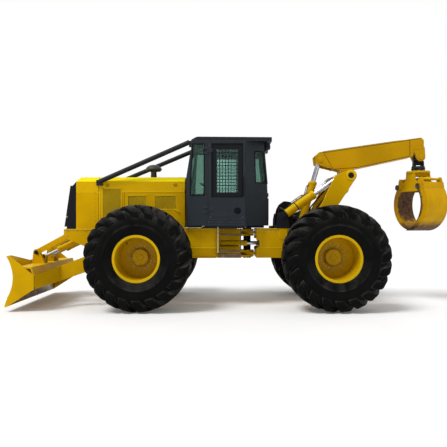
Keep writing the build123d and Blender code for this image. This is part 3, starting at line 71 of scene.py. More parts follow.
class Slot(Enum):
    """Material slots of the record."""

    YELLOW = "yellow_paint"
    RIM = "rim_paint"
    CAB = "cab_paint"
    BLACK = "black_paint"
    TYRE = "tyre_rubber"
    GLASS = "cab_glass"
    CHROME = "chrome_rod"
    WORN = "worn_steel"
    CAST = "cast_iron"
    FABRIC = "seat_fabric"
    PLASTIC = "dark_plastic"
    HOSE = "hose_rubber"


def linear(tone: Tone, share: float = 1.0) -> Quad:
    """Turn a colour of 0 to 255 into the shader's own scale.

    Args:
        tone: red, green and blue, 0 to 255.
        share: brightness to multiply by.

    Returns:
        Linear red, green, blue and an alpha of 1.
    """
    parts = [min(1.0, max(0.0, channel * share / 255)) for channel in tone]
    curved = [c / 12.92 if c <= 0.04045 else ((c + 0.055) / 1.055) ** 2.4 for c in parts]
    return (curved[0], curved[1], curved[2], 1.0)


def placed(name: str, data: bpy.types.ID) -> bpy.types.Object:
    """Put new object data into the scene and return its object."""
    made = bpy.data.objects.new(name, data)
    bpy.context.scene.collection.objects.link(made)
    return made


# ---------------------------------------------------------------- node trees
class Graph:
    """Node tree of one material or world, built from short calls."""

    def __init__(self, owner: bpy.types.Material | bpy.types.World, output: str = "Material") -> None:
        """Empty the owner's tree and give it its output node."""
        self.owner = owner
        self.owner.use_nodes = True
        self.tree = self.owner.node_tree
        self.tree.nodes.clear()
        self.output = self.node(f"ShaderNodeOutput{output}")
        self._place = None

    def node(self, kind: str, **settings: object) -> bpy.types.Node:
        """Add a node.

        Args:
            kind: the node's Blender type.
            settings: properties to set on it.

        Returns:
            The new node.
        """
        made = self.tree.nodes.new(kind)
        for key, value in settings.items():
            setattr(made, key, value)
        return made

    def join(self, source: object, target: Socket) -> None:
        """Link a socket to target, or set target's own value."""
        if isinstance(source, Socket):
            self.tree.links.new(source, target)
        else:
            target.default_value = source

    def place(self) -> Socket:
        """Return the piece's own coordinates, in metres."""
        if self._place is None:
            self._place = self.node("ShaderNodeTexCoord").outputs["Object"]
        return self._place

    def part(self, axis: str) -> Socket:
        """Return the X, Y or Z of the piece's coordinates."""
        split = self.node("ShaderNodeSeparateXYZ")
        self.join(self.place(), split.inputs[0])
        return split.outputs[axis]

    def upward(self) -> Socket:
        """Return how far a surface faces up, -1 to 1."""
        split = self.node("ShaderNodeSeparateXYZ")
        self.join(self.node("ShaderNodeNewGeometry").outputs["Normal"], split.inputs[0])
        return split.outputs["Z"]

    def maths(self, operation: str, first: object, second: object = 0.0, third: object = 0.0) -> Socket:
        """Join two or three values by a Math node.

        Args:
            operation: the node's operation.
            first: socket or number.
            second: socket or number.
            third: socket or number, for the operations that take three.

        Returns:
            The result's socket.
        """
        made = self.node("ShaderNodeMath", operation=operation)
        for value, target in zip((first, second, third), made.inputs):
            self.join(value, target)
        return made.outputs[0]

    def times(self, first: object, second: object) -> Socket:
        """Multiply two values."""
        return self.maths("MULTIPLY", first, second)

    def between(self, value: object, low: float, high: float, start: float = 0.0, end: float = 1.0) -> Socket:
        """Carry value from low..high to start..end, held at the ends."""
        made = self.node("ShaderNodeMapRange", clamp=True)
        for source, target in zip((value, low, high, start, end), made.inputs):
            self.join(source, target)
        return made.outputs[0]

    def noise(self, scale: float, detail: float = 3.0, rough: float = 0.5, stretch: Point = (1, 1, 1)) -> Socket:
        """Return a soft pattern, 0 to 1.

        Args:
            scale: patches per metre.
            detail: octaves.
            rough: how strong the fine octaves are.
            stretch: scale along each axis.

        Returns:
            The pattern's value.
        """
        moved = self.node("ShaderNodeMapping")
        self.join(self.place(), moved.inputs["Vector"])
        moved.inputs["Scale"].default_value = stretch
        made = self.node("ShaderNodeTexNoise")
        self.join(moved.outputs[0], made.inputs["Vector"])
        made.inputs["Scale"].default_value = scale
        made.inputs["Detail"].default_value = detail
        made.inputs["Roughness"].default_value = rough
        return made.outputs[0]

    def cloud(
        self, scale: float, detail: float, low: float, high: float, start: float = 0.0, end: float = 1.0,
        rough: float = 0.5,
    ) -> Socket:
        """Return noise that goes from start to end as its pattern goes from low to high."""
        return self.between(self.noise(scale, detail, rough), low, high, start, end)

    def blend(self, share: object, first: object, second: object) -> Socket:
        """Mix two colours by share."""
        made = self.node("ShaderNodeMix", data_type="RGBA")
        self.join(share, made.inputs[0])
        self.join(first, made.inputs[6])
        self.join(second, made.inputs[7])
        return made.outputs[2]

    def over(self, base: object, share: object, strength: float, tone: Tone, bright: float = 1.0) -> Socket:
        """Lay a tone over base, by share times strength."""
        return self.blend(self.times(share, strength), base, linear(tone, bright))

    def wave(self, value: object, pitch: float) -> Socket:
        """Return a sine of value, -1 to 1, that comes round every pitch."""
        return self.maths("SINE", self.times(value, 2 * math.pi / pitch))

    def rounded(self, radius: float) -> tuple[Socket, Socket]:
        """Round the look of hard edges.

        Args:
            radius: radius of the rounding in metres.

        Returns:
            The rounded normal, and a value that is 1 on the edges and 0 away from them.
        """
        soft = self.node("ShaderNodeBevel", samples=4)
        soft.inputs["Radius"].default_value = radius
        geometry = self.node("ShaderNodeNewGeometry")
        dot = self.node("ShaderNodeVectorMath", operation="DOT_PRODUCT")
        self.join(soft.outputs[0], dot.inputs[0])
        self.join(geometry.outputs["Normal"], dot.inputs[1])
        return soft.outputs[0], self.between(dot.outputs["Value"], 0.97, 0.8)

    def bump(self, height: object, strength: float, depth: float, normal: object = None) -> Socket:
        """Return a normal bumped by height, on top of another normal if one is given."""
        made = self.node("ShaderNodeBump")
        made.inputs["Strength"].default_value = strength
        made.inputs["Distance"].default_value = depth
        self.join(height, made.inputs["Height"])
        if normal is not None:
            self.join(normal, made.inputs["Normal"])
        return made.outputs[0]

    def surface(self, **values: object) -> bpy.types.Material:
        """Finish the material with a Principled shader.

        Args:
            values: sockets or constants by socket name, with underscores for blanks.

        Returns:
            The finished material.
        """
        shader = self.node("ShaderNodeBsdfPrincipled")
        for key, value in values.items():
            self.join(value, shader.inputs[key.replace("_", " ")])
        self.join(shader.outputs[0], self.output.inputs["Surface"])
        return self.owner


# ---------------------------------------------------------------- finishes
@dataclass(frozen=True)
class Finish:
    """A surface finish; every finish makes its material once."""

    name: str
    tone: Tone
    slot: Slot = Slot.YELLOW
    made: ClassVar[dict[str, bpy.types.Material]] = {}

    def mottled(
        self, graph: Graph, pattern: object, dark: float, bright: float, low: float = 0.35, high: float = 0.65
    ) -> Socket:
        """Let the tone drift from dark to bright along a pattern.

        Args:
            graph: node tree that takes it.
            pattern: socket of 0 to 1.
            dark: share of the tone at low.
            bright: share of the tone at high.
            low: the pattern's value that shows dark.
            high: the pattern's value that shows bright.

        Returns:
            The colour's socket.
        """
        return graph.blend(graph.between(pattern, low, high), linear(self.tone, dark), linear(self.tone, bright))

    def material(self) -> bpy.types.Material:
        """Return the finish's material."""
        if self.name not in Finish.made:
            Finish.made[self.name] = self.build(Graph(bpy.data.materials.new(self.name)))
        return Finish.made[self.name]

    def build(self, graph: Graph) -> bpy.types.Material:
        """Build the node tree; each kind of finish has its own."""
        raise NotImplementedError


@dataclass(frozen=True)
class Paint(Finish):
    """Sprayed machinery paint with a painted highlight on its edges and, where a top tone is given, painted light
    on what faces up; dust settles where it faces up.
    """

    # Tone of the painted highlight laid along the edges.
    edge_highlight: Tone = (255, 214, 60)
    roughness: float = 0.38
    edge_width: float = 0.012
    edge_share: float = 0.75
    drift: float = 0.07
    dust: float = 0.06
    sheen: float = 0.07
    # Lighter tone painted on faces that point up, as painted light from above.
    painted_top_light: Tone | None = None

    def build(self, graph: Graph) -> bpy.types.Material:
        """Build paint: slow drift of tone, fine speckle, painted edge highlights, painted top light, dust and
        orange peel.
        """
        base = self.mottled(graph, graph.noise(1.4, 4), 1 - self.drift, 1 + self.drift / 2)
        speckle = graph.cloud(38, 6, 0.56, 0.75, 0, 0.18, rough=0.7)
        base = graph.blend(speckle, base, linear(self.tone, 0.78))
        # Painted light: faces that point up blend towards the lighter top tone.
        if self.painted_top_light:
            base = graph.blend(graph.between(graph.upward(), 0.12, 0.55), base, linear(self.painted_top_light))
        # Painted highlight: the edges blend towards the lighter edge tone.
        normal, edge_highlight = graph.rounded(self.edge_width)
        base = graph.over(base, edge_highlight, self.edge_share, self.edge_highlight)
        settled = graph.times(graph.between(graph.upward(), 0.2, 0.95), graph.cloud(5, 5, 0.4, 0.75))
        low = graph.between(graph.part("Z"), 1.5, 0.3, 0, 0.5)
        low = graph.times(low, graph.cloud(9, 5, 0.42, 0.7, rough=0.65))
        grime = graph.times(graph.maths("ADD", settled, low), self.dust)
        base = graph.blend(grime, base, linear((128, 112, 82)))
        gloss = graph.cloud(7, 4, 0.3, 0.7, self.roughness - 0.06, self.roughness + 0.1)
        peel = graph.bump(graph.noise(260, 2), 0.12, 0.0015, normal)
        return graph.surface(Base_Color=base, Roughness=gloss, Normal=peel, Specular_IOR_Level=self.sheen)


@dataclass(frozen=True)
class WornPaint(Finish):
    """Paint on a log tong, rubbed to brown steel where logs slide against it."""

    steel: Tone = (96, 74, 56)
    centre: Point = (-3.575, 0.0, 1.92)
    turned: float = math.radians(22)
    rubbed_radius: float = 0.4
    tip_height: float = 1.54

    def build(self, graph: Graph) -> bpy.types.Material:
        """Build paint that gives way to steel near the ring's inside and the tips."""
        across = graph.node("ShaderNodeVectorMath", operation="DOT_PRODUCT")
        graph.join(graph.place(), across.inputs[0])
        across.inputs[1].default_value = (-math.sin(self.turned), math.cos(self.turned), 0)
        offset = -math.sin(self.turned) * self.centre[0] + math.cos(self.turned) * self.centre[1]
        spread = graph.maths("SUBTRACT", across.outputs["Value"], offset)
        height = graph.maths("SUBTRACT", graph.part("Z"), self.centre[2])
        reach = graph.maths(
            "SQRT", graph.maths("ADD", graph.maths("POWER", spread, 2.0), graph.maths("POWER", height, 2.0))
        )
        ragged = graph.times(graph.maths("SUBTRACT", graph.noise(11, 6, 0.65), 0.5), 0.14)
        inside = graph.between(
            graph.maths("ADD", reach, ragged), self.rubbed_radius + 0.02, self.rubbed_radius - 0.02
        )
        tips = graph.between(
            graph.maths("ADD", graph.part("Z"), ragged), self.tip_height + 0.06, self.tip_height - 0.06
        )
        rubbed = graph.maths("MAXIMUM", inside, tips)
        paint = self.mottled(graph, graph.noise(2.0, 4), 0.9, 1.05)
        scuffs = graph.between(graph.noise(26, 7, 0.7, (1, 1, 0.25)), 0.6, 0.7, 0, 0.45)
        paint = graph.blend(scuffs, paint, linear(self.steel, 1.15))
        steel = graph.blend(
            graph.cloud(14, 6, 0.35, 0.65, rough=0.7), linear(self.steel, 0.75), linear(self.steel, 1.35)
        )
        normal, edge_highlight = graph.rounded(0.012)
        base = graph.blend(rubbed, paint, steel)
        # Painted highlight: the edges blend towards a lighter yellow.
        base = graph.over(base, edge_highlight, 0.3, (226, 186, 60))
        rough = graph.between(rubbed, 0, 1, 0.42, 0.55)
        metal = graph.between(rubbed, 0, 1, 0.0, 0.35)
        return graph.surface(
            Base_Color=base, Roughness=rough, Metallic=metal, Specular_IOR_Level=0.08,
            Normal=graph.bump(graph.noise(60, 5, 0.7), 0.3, 0.002, normal)
        )


@dataclass(frozen=True)
class Rubber(Finish):
    """Black rubber with a grey bloom on what faces up, partly dust and partly painted sheen, and a painted
    highlight on its edges.
    """

    slot: Slot = Slot.PLASTIC
    dust_and_sheen: Tone = (92, 90, 82)
    dust_and_sheen_share: float = 0.28
    roughness: float = 0.62
    grain: float = 90.0

    def build(self, graph: Graph) -> bpy.types.Material:
        """Build rubber: dark body, patchy bloom of dust and painted sheen, fine grain."""
        base = self.mottled(graph, graph.noise(3.0, 5), 0.8, 1.25, high=0.7)
        normal, edge_highlight = graph.rounded(0.01)
        # Dust and painted sheen: faces that point up turn grey in patches, partly settled dust and partly painted
        # glint of light from above.
        patch = graph.cloud(4.5, 6, 0.38, 0.72, rough=0.6)
        up = graph.between(graph.upward(), 0.0, 0.8, 0.02, 1.0)
        share = graph.times(graph.times(patch, up), self.dust_and_sheen_share)
        # Painted highlight: the edges take part of the same grey.
        share = graph.maths("MAXIMUM", share, graph.times(edge_highlight, self.dust_and_sheen_share * 0.7))
        base = graph.blend(share, base, linear(self.dust_and_sheen))
        rough = graph.cloud(8, 4, 0.3, 0.7, self.roughness - 0.08, self.roughness + 0.12)
        normal = graph.bump(graph.noise(self.grain, 4), 0.25, 0.002, normal)
        return graph.surface(Base_Color=base, Roughness=rough, Normal=normal, Specular_IOR_Level=0.06)


@dataclass(frozen=True)
class Metal(Finish):
    """Bare or plated metal with streaks."""

    slot: Slot = Slot.WORN
    metallic: float = 1.0
    roughness: float = 0.15
    streak: Point = (1, 1, 1)
    patina: Tone = (70, 62, 55)
    patina_share: float = 0.0

    def build(self, graph: Graph) -> bpy.types.Material:
        """Build metal: tone and gloss drift along the streaks, with patina in patches."""
        streaks = graph.noise(18, 5, 0.6, self.streak)
        base = self.mottled(graph, streaks, 0.85, 1.08, 0.3, 0.7)
        patches = graph.cloud(9, 6, 0.42, 0.62, 0, self.patina_share, rough=0.65)
        base = graph.blend(patches, base, linear(self.patina))
        normal, edge_highlight = graph.rounded(0.006)
        # Painted highlight: the edges are brightened.
        base = graph.over(base, edge_highlight, 0.4, self.tone, 1.25)
        rough = graph.between(streaks, 0.3, 0.7, self.roughness, self.roughness + 0.12)
        rough = graph.maths("MAXIMUM", rough, graph.times(patches, 0.7))
        normal = graph.bump(graph.noise(140, 4), 0.1, 0.001, normal)
        return graph.surface(Base_Color=base, Metallic=self.metallic, Roughness=rough, Normal=normal)


@dataclass(frozen=True)
class Pane(Finish):
    """Tinted safety glass that shows what is behind it."""

    slot: Slot = Slot.GLASS
    clear: float = 0.92

    def build(self, graph: Graph) -> bpy.types.Material:
        """Build glass: a clear tint with faint dust."""
        haze = graph.cloud(3.5, 5, 0.35, 0.75, 0, 0.25)
        base = graph.blend(haze, linear(self.tone), linear(self.tone, 0.93))
        rough = graph.between(haze, 0, 0.25, 0.0, 0.05)
        return graph.surface(Base_Color=base, Roughness=rough, Transmission_Weight=self.clear, IOR=1.12)


@dataclass(frozen=True)
class Screen(Finish):
    """Painted sheet punched with rows of round holes, for an upright sheet along X."""

    hole: Tone = (46, 38, 10)
    pitch: float = 0.022

    def build(self, graph: Graph) -> bpy.types.Material:
        """Build punched sheet: staggered dark holes in paint."""
        along = graph.wave(graph.part("X"), self.pitch)
        up = graph.wave(graph.part("Z"), self.pitch)
        hole = graph.between(graph.times(along, up), 0.18, 0.3)
        paint = self.mottled(graph, graph.noise(2.0, 4), 0.94, 1.06)
        base = graph.blend(hole, paint, linear(self.hole))
        rough = graph.between(hole, 0, 1, 0.42, 0.9)
        return graph.surface(
            Base_Color=base, Roughness=rough, Specular_IOR_Level=0.1, Normal=graph.bump(hole, 0.5, -0.002)
        )


@dataclass(frozen=True)
class Weave(Finish):
    """Woven seat cloth."""

    slot: Slot = Slot.FABRIC
    thread: float = 0.004

    def build(self, graph: Graph) -> bpy.types.Material:
        """Build cloth: crossing threads with slubs."""
        warp = graph.wave(graph.maths("ADD", graph.part("X"), graph.part("Z")), self.thread)
        weft = graph.wave(graph.part("Y"), self.thread)
        cross = graph.times(graph.maths("ADD", warp, weft), 0.5)
        slub = graph.cloud(55, 4, 0.35, 0.7, rough=0.6)
        base = self.mottled(graph, cross, 0.75, 1.3, -1, 1)
        base = graph.over(base, slub, 0.35, self.tone, 1.6)
        rough = graph.between(slub, 0, 1, 0.78, 0.95)
        return graph.surface(
            Base_Color=base, Roughness=rough, Sheen_Weight=0.25, Normal=graph.bump(cross, 0.4, 0.001)
        )


@dataclass(frozen=True)
class Grip(Finish):
    """Painted step plate with raised bars."""

    pitch: float = 0.03

    def build(self, graph: Graph) -> bpy.types.Material:
        """Build step plate: crossed bars rubbed bare on top."""
        one = graph.wave(graph.maths("ADD", graph.part("X"), graph.part("Y")), self.pitch)
        two = graph.wave(graph.maths("SUBTRACT", graph.part("X"), graph.part("Y")), self.pitch)
        raised = graph.between(graph.maths("MAXIMUM", one, two), 0.55, 0.85)
        rubbed = graph.times(raised, graph.cloud(12, 5, 0.45, 0.65))
        base = graph.blend(rubbed, linear(self.tone), linear((120, 112, 98)))
        rough = graph.between(rubbed, 0, 1, 0.6, 0.4)
        return graph.surface(Base_Color=base, Roughness=rough, Normal=graph.bump(raised, 0.7, 0.003))


@dataclass(frozen=True)
class Moulded(Finish):
    """Grained moulded plastic."""

    slot: Slot = Slot.PLASTIC
    roughness: float = 0.55

    def build(self, graph: Graph) -> bpy.types.Material:
        """Build plastic: leathery grain and slight drift."""
        base = self.mottled(graph, graph.noise(6, 4), 0.88, 1.15)
        cells = graph.node("ShaderNodeTexVoronoi")
        graph.join(graph.place(), cells.inputs["Vector"])
        cells.inputs["Scale"].default_value = 420
        rough = graph.cloud(10, 4, 0.3, 0.7, self.roughness - 0.05, self.roughness + 0.1)
        normal, edge_highlight = graph.rounded(0.004)
        # Painted highlight: the edges are brightened.
        base = graph.over(base, edge_highlight, 0.3, self.tone, 1.6)
        return graph.surface(
            Base_Color=base, Roughness=rough, Normal=graph.bump(cells.outputs["Distance"], 0.2, 0.0006, normal)
        )


# Machine yellow; its top tone is painted light on faces that point up, its edge tone a painted highlight.
YELLOW = Paint("machine_yellow", (210, 163, 0), edge_highlight=(255, 212, 40), sheen=0.04, painted_top_light=(228, 186, 0))
# A dark copy of the machine yellow: painted shade for webs and seams that sit in shadow.
PAINTED_SHADE_YELLOW = Paint("shaded_yellow", (70, 51, 0), edge_highlight=(112, 84, 10), dust=0.1)
# A darker copy of the machine yellow, painted shade for the boom; its top tone is painted light.
SHADED_BOOM_YELLOW = Paint("shaded_boom_yellow", (192, 144, 0), edge_highlight=(240, 196, 44), painted_top_light=(216, 174, 0))
# A lighter copy of the machine yellow: painted light for the hood and for trims, ribs and caps that catch the
# light.
LIT_YELLOW = Paint("lit_yellow", (222, 175, 0), edge_highlight=(255, 236, 60), drift=0.04, dust=0.02, painted_top_light=(255, 230, 8))
RIM_YELLOW = Paint("rim_yellow", (206, 166, 0), slot=Slot.RIM, edge_highlight=(240, 202, 30), roughness=0.36)
SLATE = Paint(
    "cab_slate", (33, 41, 47), slot=Slot.CAB, edge_highlight=(98, 102, 112), roughness=0.46, edge_width=0.009,
    edge_share=0.55, dust=0.03, sheen=0.18,
)
SLATE_DARK = Paint(
    "cab_slate_dark", (28, 31, 36), slot=Slot.CAB, edge_highlight=(84, 88, 98), roughness=0.5, edge_width=0.008,
    edge_share=0.5, dust=0.03, sheen=0.18,
)
BLACK = Paint(
    "matt_black", (27, 28, 32), slot=Slot.BLACK, edge_highlight=(78, 80, 88), roughness=0.52, edge_width=0.007,
    edge_share=0.45, dust=0.08,
)
TYRE = Rubber("tyre_rubber", (6, 6, 6), slot=Slot.TYRE, dust_and_sheen=(124, 122, 117), dust_and_sheen_share=0.42)
HOSE = Rubber(
    "hose_rubber", (24, 24, 26), slot=Slot.HOSE, dust_and_sheen=(70, 70, 70), dust_and_sheen_share=0.2, roughness=0.5, grain=300.0
)
SEAL = Rubber("window_seal", (20, 21, 23), dust_and_sheen=(54, 56, 60), dust_and_sheen_share=0.15, roughness=0.6, grain=240.0)
CHROME = Metal("chrome", (188, 191, 200), slot=Slot.CHROME, roughness=0.18, streak=(1, 1, 6))
STEEL = Metal("worn_steel", (150, 138, 122), metallic=0.8, roughness=0.32, patina=(92, 66, 46), patina_share=0.85)
PIN_STEEL = Metal("pin_steel", (92, 88, 84), metallic=0.7, roughness=0.38, patina=(44, 38, 34), patina_share=0.7)
CAST = Metal(
    "cast_iron", (72, 70, 68), slot=Slot.CAST, metallic=0.35, roughness=0.55, patina=(48, 42, 36), patina_share=0.5
)
ZINC = Metal("zinc_bolts", (172, 160, 112), metallic=0.85, roughness=0.3, patina=(112, 92, 50), patina_share=0.5)
ROPE = Metal(
    "winch_rope", (104, 98, 90), metallic=0.75, roughness=0.42, streak=(1, 8, 1), patina=(58, 46, 38),
    patina_share=0.7,
)
# Pale strips laid along plate edges: a painted highlight.
PALE_EDGE_HIGHLIGHT = Paint("painted_edge_highlight", (250, 232, 168), edge_highlight=(255, 246, 205), roughness=0.5, edge_width=0.004, dust=0.05)
GLASS = Pane("green_glass", (152, 184, 172))
# A lighter copy of the cab glass: painted light that offsets the shade of the guard and the seat behind the door
# glass.
LIGHTER_DOOR_GLASS = Pane("door_glass", (178, 212, 202))
LENS = Pane("lamp_glass", (206, 208, 204), clear=0.3)
SCREEN = Screen("punched_screen", (190, 156, 8), hole=(62, 50, 0))
WEAVE = Weave("seat_cloth", (44, 46, 52))
GRIP = Grip("step_plate", (88, 66, 16))
PLASTIC = Moulded("dark_plastic", (34, 36, 40))
TONG = WornPaint("tong_paint", (208, 158, 0), steel=(84, 62, 44))


# ---------------------------------------------------------------- shaping
def vertices(geom: Iterable[object]) -> list[bmesh.types.BMVert]:
    """Pick the vertices out of an operator's result."""
    return [g for g in geom if isinstance(g, bmesh.types.BMVert)]


def facing(way: Vector) -> Matrix:
    """Return the turn that carries +Z onto a way."""
    return way.to_track_quat("Z", "Y").to_matrix().to_4x4()


class Workpiece:
    """One mesh while it is being shaped with bmesh operators."""

    def __init__(self, name: str) -> None:
        """Start an empty mesh for the piece of that name."""
        self.name = name
        self.bm = bmesh.new()

    def block(self, low: Point, high: Point) -> None:
        """Add a box between two corners."""
        size = [b - a for a, b in zip(low, high)]
        middle = [(a + b) / 2 for a, b in zip(low, high)]
        matrix = Matrix.Translation(middle) @ Matrix.Diagonal((*size, 1.0))
        bmesh.ops.create_cube(self.bm, size=1.0, matrix=matrix)

    def beam(self, start: Point, end: Point, width: float, height: float, up: Point = UP) -> None:
        """Add a bar of rectangular section.

        Args:
            start: middle of one end.
            end: middle of the other end.
            width: size across both the run and up.
            height: size along up.
            up: rough direction of the height.
        """
        run = Vector(end) - Vector(start)
        along = run.normalized()
        across = Vector(up).cross(along).normalized()
        raised = along.cross(across)
        turn = Matrix((across, raised, along)).transposed().to_4x4()
        middle = Matrix.Translation((Vector(start) + Vector(end)) / 2)
        size = Matrix.Diagonal((width, height, run.length, 1.0))
        bmesh.ops.create_cube(self.bm, size=1.0, matrix=middle @ turn @ size)

    def rod(self, start: Point, end: Point, radius: float, tip: float | None = None, sides: int = 24) -> None:
        """Add a closed round bar, or a cone if tip is given."""
        run = Vector(end) - Vector(start)
        matrix = Matrix.Translation((Vector(start) + Vector(end)) / 2) @ facing(run)
        bmesh.ops.create_cone(
            self.bm,
            cap_ends=True,
            cap_tris=False,
            segments=sides,
            radius1=radius,
            radius2=radius if tip is None else tip,
            depth=run.length,
            matrix=matrix,
        )

    def bolt(self, foot: Point, direction: Point, size: float) -> None:
        """Add a hexagon head on a washer.

        Args:
            foot: where the washer lies on its plate.
            direction: the way that the head stands out.
            size: radius of the head.
        """
        out = Vector(direction).normalized()
        base = Vector(foot) - out * 0.002
        self.rod(base, base + out * size * 0.35, size * 1.35, sides=16)
        self.rod(base, base + out * size * 1.1, size, tip=size * 0.92, sides=6)

    def bolt_circle(
        self, foot: Point, direction: Point, size: float, centre: Point, axis: Point, count: int
    ) -> None:
        """Add a bolt and repeat it around an axis until there are count of it."""
        before = set(self.bm.verts)
        self.bolt(foot, direction, size)
        self.around([v for v in self.bm.verts if v not in before], centre, axis, count)

    def border(self, span: Pair, rise: Pair, face: float, lap: float, section: Pair) -> None:
        """Frame an upright opening along X with four bars.

        Args:
            span: X of the bars at its front and rear.
            rise: Z of the bars at its foot and head.
            face: Y of the bars.
            lap: how far each bar runs past the corner.
            section: width and depth of the bars.
        """
        front, rear = span
        bottom, top = rise
        for x in span:
            self.beam((x, face, bottom - lap), (x, face, top + lap), *section, ACROSS)
        for z in rise:
            self.beam((rear - lap, face, z), (front + lap, face, z), *section, ACROSS)

    def strips(self, lines: Iterable[tuple[Pair, Pair]], face: float, section: Pair) -> None:
        """Lay bars between (X, Z) points on an upright face along X."""
        for start, end in lines:
            self.beam((start[0], face, start[1]), (end[0], face, end[1]), *section, ACROSS)

    def side_plate(self, outline: Iterable[Pair], face: float, thickness: float) -> None:
        """Stand a plate with (X, Z) corners on an upright face along X."""
        self.plate([(x, face, z) for x, z in outline], (0, thickness, 0))

    def plate(self, outline: Sequence[Point], thickness: Point) -> None:
        """Extrude a flat outline by a vector."""
        face = self.bm.faces.new([self.bm.verts.new(p) for p in outline])
        grown = bmesh.ops.extrude_face_region(self.bm, geom=[face])["geom"]
        bmesh.ops.translate(self.bm, verts=vertices(grown), vec=thickness)

    def lathe(self, profile: Sequence[Pair], centre: Point, axis: Point, steps: int = 48) -> None:
        """Spin a profile about an axis.

        Args:
            profile: (radius, distance along the axis) points, from one end to the other.
            centre: point on the axis that distances are measured from.
            axis: direction of the axis.
            steps: facets in a turn.
        """
        along = Vector(axis).normalized()
        out = along.orthogonal().normalized()
        before = set(self.bm.verts)
        points = [self.bm.verts.new(Vector(centre) + out * r + along * a) for r, a in profile]
        edges = [self.bm.edges.new(pair) for pair in zip(points, points[1:])]
        bmesh.ops.spin(
            self.bm, geom=points + edges, cent=centre, axis=along, dvec=(0, 0, 0), angle=2 * math.pi, steps=steps,
            use_merge=True
        )
        made = [v for v in self.bm.verts if v not in before]
        bmesh.ops.remove_doubles(self.bm, verts=made, dist=1e-6)

    def pipe(self, points: Sequence[Point], radius: float, sides: int = 12) -> None:
        """Carry a ring along a rigid bent pipe's points."""
        path = [Vector(p) for p in points]
        runs = [(b - a).normalized() for a, b in zip(path, path[1:])]
        ways = [runs[0]] + [(a + b).normalized() for a, b in zip(runs, runs[1:])] + [runs[-1]]
        spots = [Matrix.Translation(p) @ facing(w) for p, w in zip(path, ways)]
        ring = bmesh.ops.create_circle(
            self.bm, cap_ends=False, segments=sides, radius=radius, matrix=spots[0]
        )["verts"]
        edges = list({e for v in ring for e in v.link_edges})
        self.bm.faces.new(ring)
        for before, after in zip(ways, range(1, len(path))):
            grown = bmesh.ops.extrude_edge_only(self.bm, edges=edges)["geom"]
            verts = vertices(grown)
            edges = [g for g in grown if isinstance(g, bmesh.types.BMEdge)]
            turn = before.rotation_difference(ways[after]).to_matrix().to_4x4()
            move = Matrix.Translation(path[after]) @ turn @ Matrix.Translation(-path[after - 1])
            bmesh.ops.transform(self.bm, matrix=move, verts=verts)
        bmesh.ops.edgeloop_fill(self.bm, edges=edges)

    def around(self, verts: Iterable[bmesh.types.BMVert], centre: Point, axis: Point, count: int) -> None:
        """Repeat part of the mesh around an axis until there are count of it."""
        chosen = set(verts)
        geom = list(chosen) + [e for e in self.bm.edges if chosen.issuperset(e.verts)]
        geom += [f for f in self.bm.faces if chosen.issuperset(f.verts)]
        for turn in range(1, count):
            copy = bmesh.ops.duplicate(self.bm, geom=geom)["geom"]
            matrix = Matrix.Rotation(2 * math.pi * turn / count, 3, Vector(axis))
            bmesh.ops.rotate(self.bm, cent=centre, matrix=matrix, verts=vertices(copy))

    def merge(self, other: "Workpiece") -> None:
        """Take in another workpiece's mesh, which is then spent."""
        passing = bpy.data.meshes.new(other.name)
        other.bm.to_mesh(passing)
        other.bm.free()
        self.bm.from_mesh(passing)
        bpy.data.meshes.remove(passing)

    def both_sides(self) -> "Workpiece":
        """Repeat the whole mesh on the machine's other side."""
        copy = bmesh.ops.duplicate(self.bm, geom=self.bm.verts[:] + self.bm.edges[:] + self.bm.faces[:])["geom"]
        bmesh.ops.scale(self.bm, vec=(1, -1, 1), verts=vertices(copy))
        return self

    def soften(self, width: float, segments: int = 2, angle: float = 30.0) -> "Workpiece":
        """Bevel the hard edges.

        Args:
            width: offset of the bevel.
            segments: its facets.
            angle: smallest turn, in degrees, that counts as an edge.

        Returns:
            The piece itself.
        """
        bmesh.ops.recalc_face_normals(self.bm, faces=self.bm.faces)
        turned = math.radians(angle)
        self.bevel([e for e in self.bm.edges if e.is_manifold and e.calc_face_angle(0.0) > turned], width, segments)
        return self

    def bevel(self, edges: list[bmesh.types.BMEdge], width: float, segments: int) -> None:
        """Bevel the given edges."""
        bmesh.ops.bevel(
            self.bm, geom=edges, offset=width, offset_type="OFFSET", segments=segments, profile=0.5, affect="EDGES",
            clamp_overlap=True, material=-1,
        )

    def done(
        self, body: str, finish: Finish, slot: Slot | None = None, replaces: Sequence[str] = (),
        smooth: float = 38.0,
    ) -> bpy.types.Object:
        """Turn the mesh into a piece that rides on a body.

        Args:
            body: CAD body that it moves with.
            finish: its surface.
            slot: the record's slot, where it isn't the finish's own; not used.
            replaces: CAD nodes that it stands for.
            smooth: angle in degrees up to which faces shade as one.

        Returns:
            The finished object.
        """
        bmesh.ops.recalc_face_normals(self.bm, faces=self.bm.faces)
        mesh = bpy.data.meshes.new(self.name)
        self.bm.to_mesh(mesh)
        self.bm.free()
        mesh.shade_smooth()
        mesh.set_sharp_from_angle(angle=math.radians(smooth))
        piece = placed(self.name, mesh)
        mesh.materials.append(finish.material())
        slot = slot or finish.slot
        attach(piece, body)
        if replaces:
            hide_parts(*replaces)
        LOG.info("%s: %d faces on %s", self.name, len(mesh.polygons), body)
        return piece


def dress(finish: Finish, *names: str) -> None:
    """Give CAD nodes a finish through their material slots."""
    for name in names:
        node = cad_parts[name]
        if not node.material_slots:
            node.data.materials.append(finish.material())
        for slot in node.material_slots:
            slot.material = finish.material()
        LOG.info("%s: %s", name, finish.name)


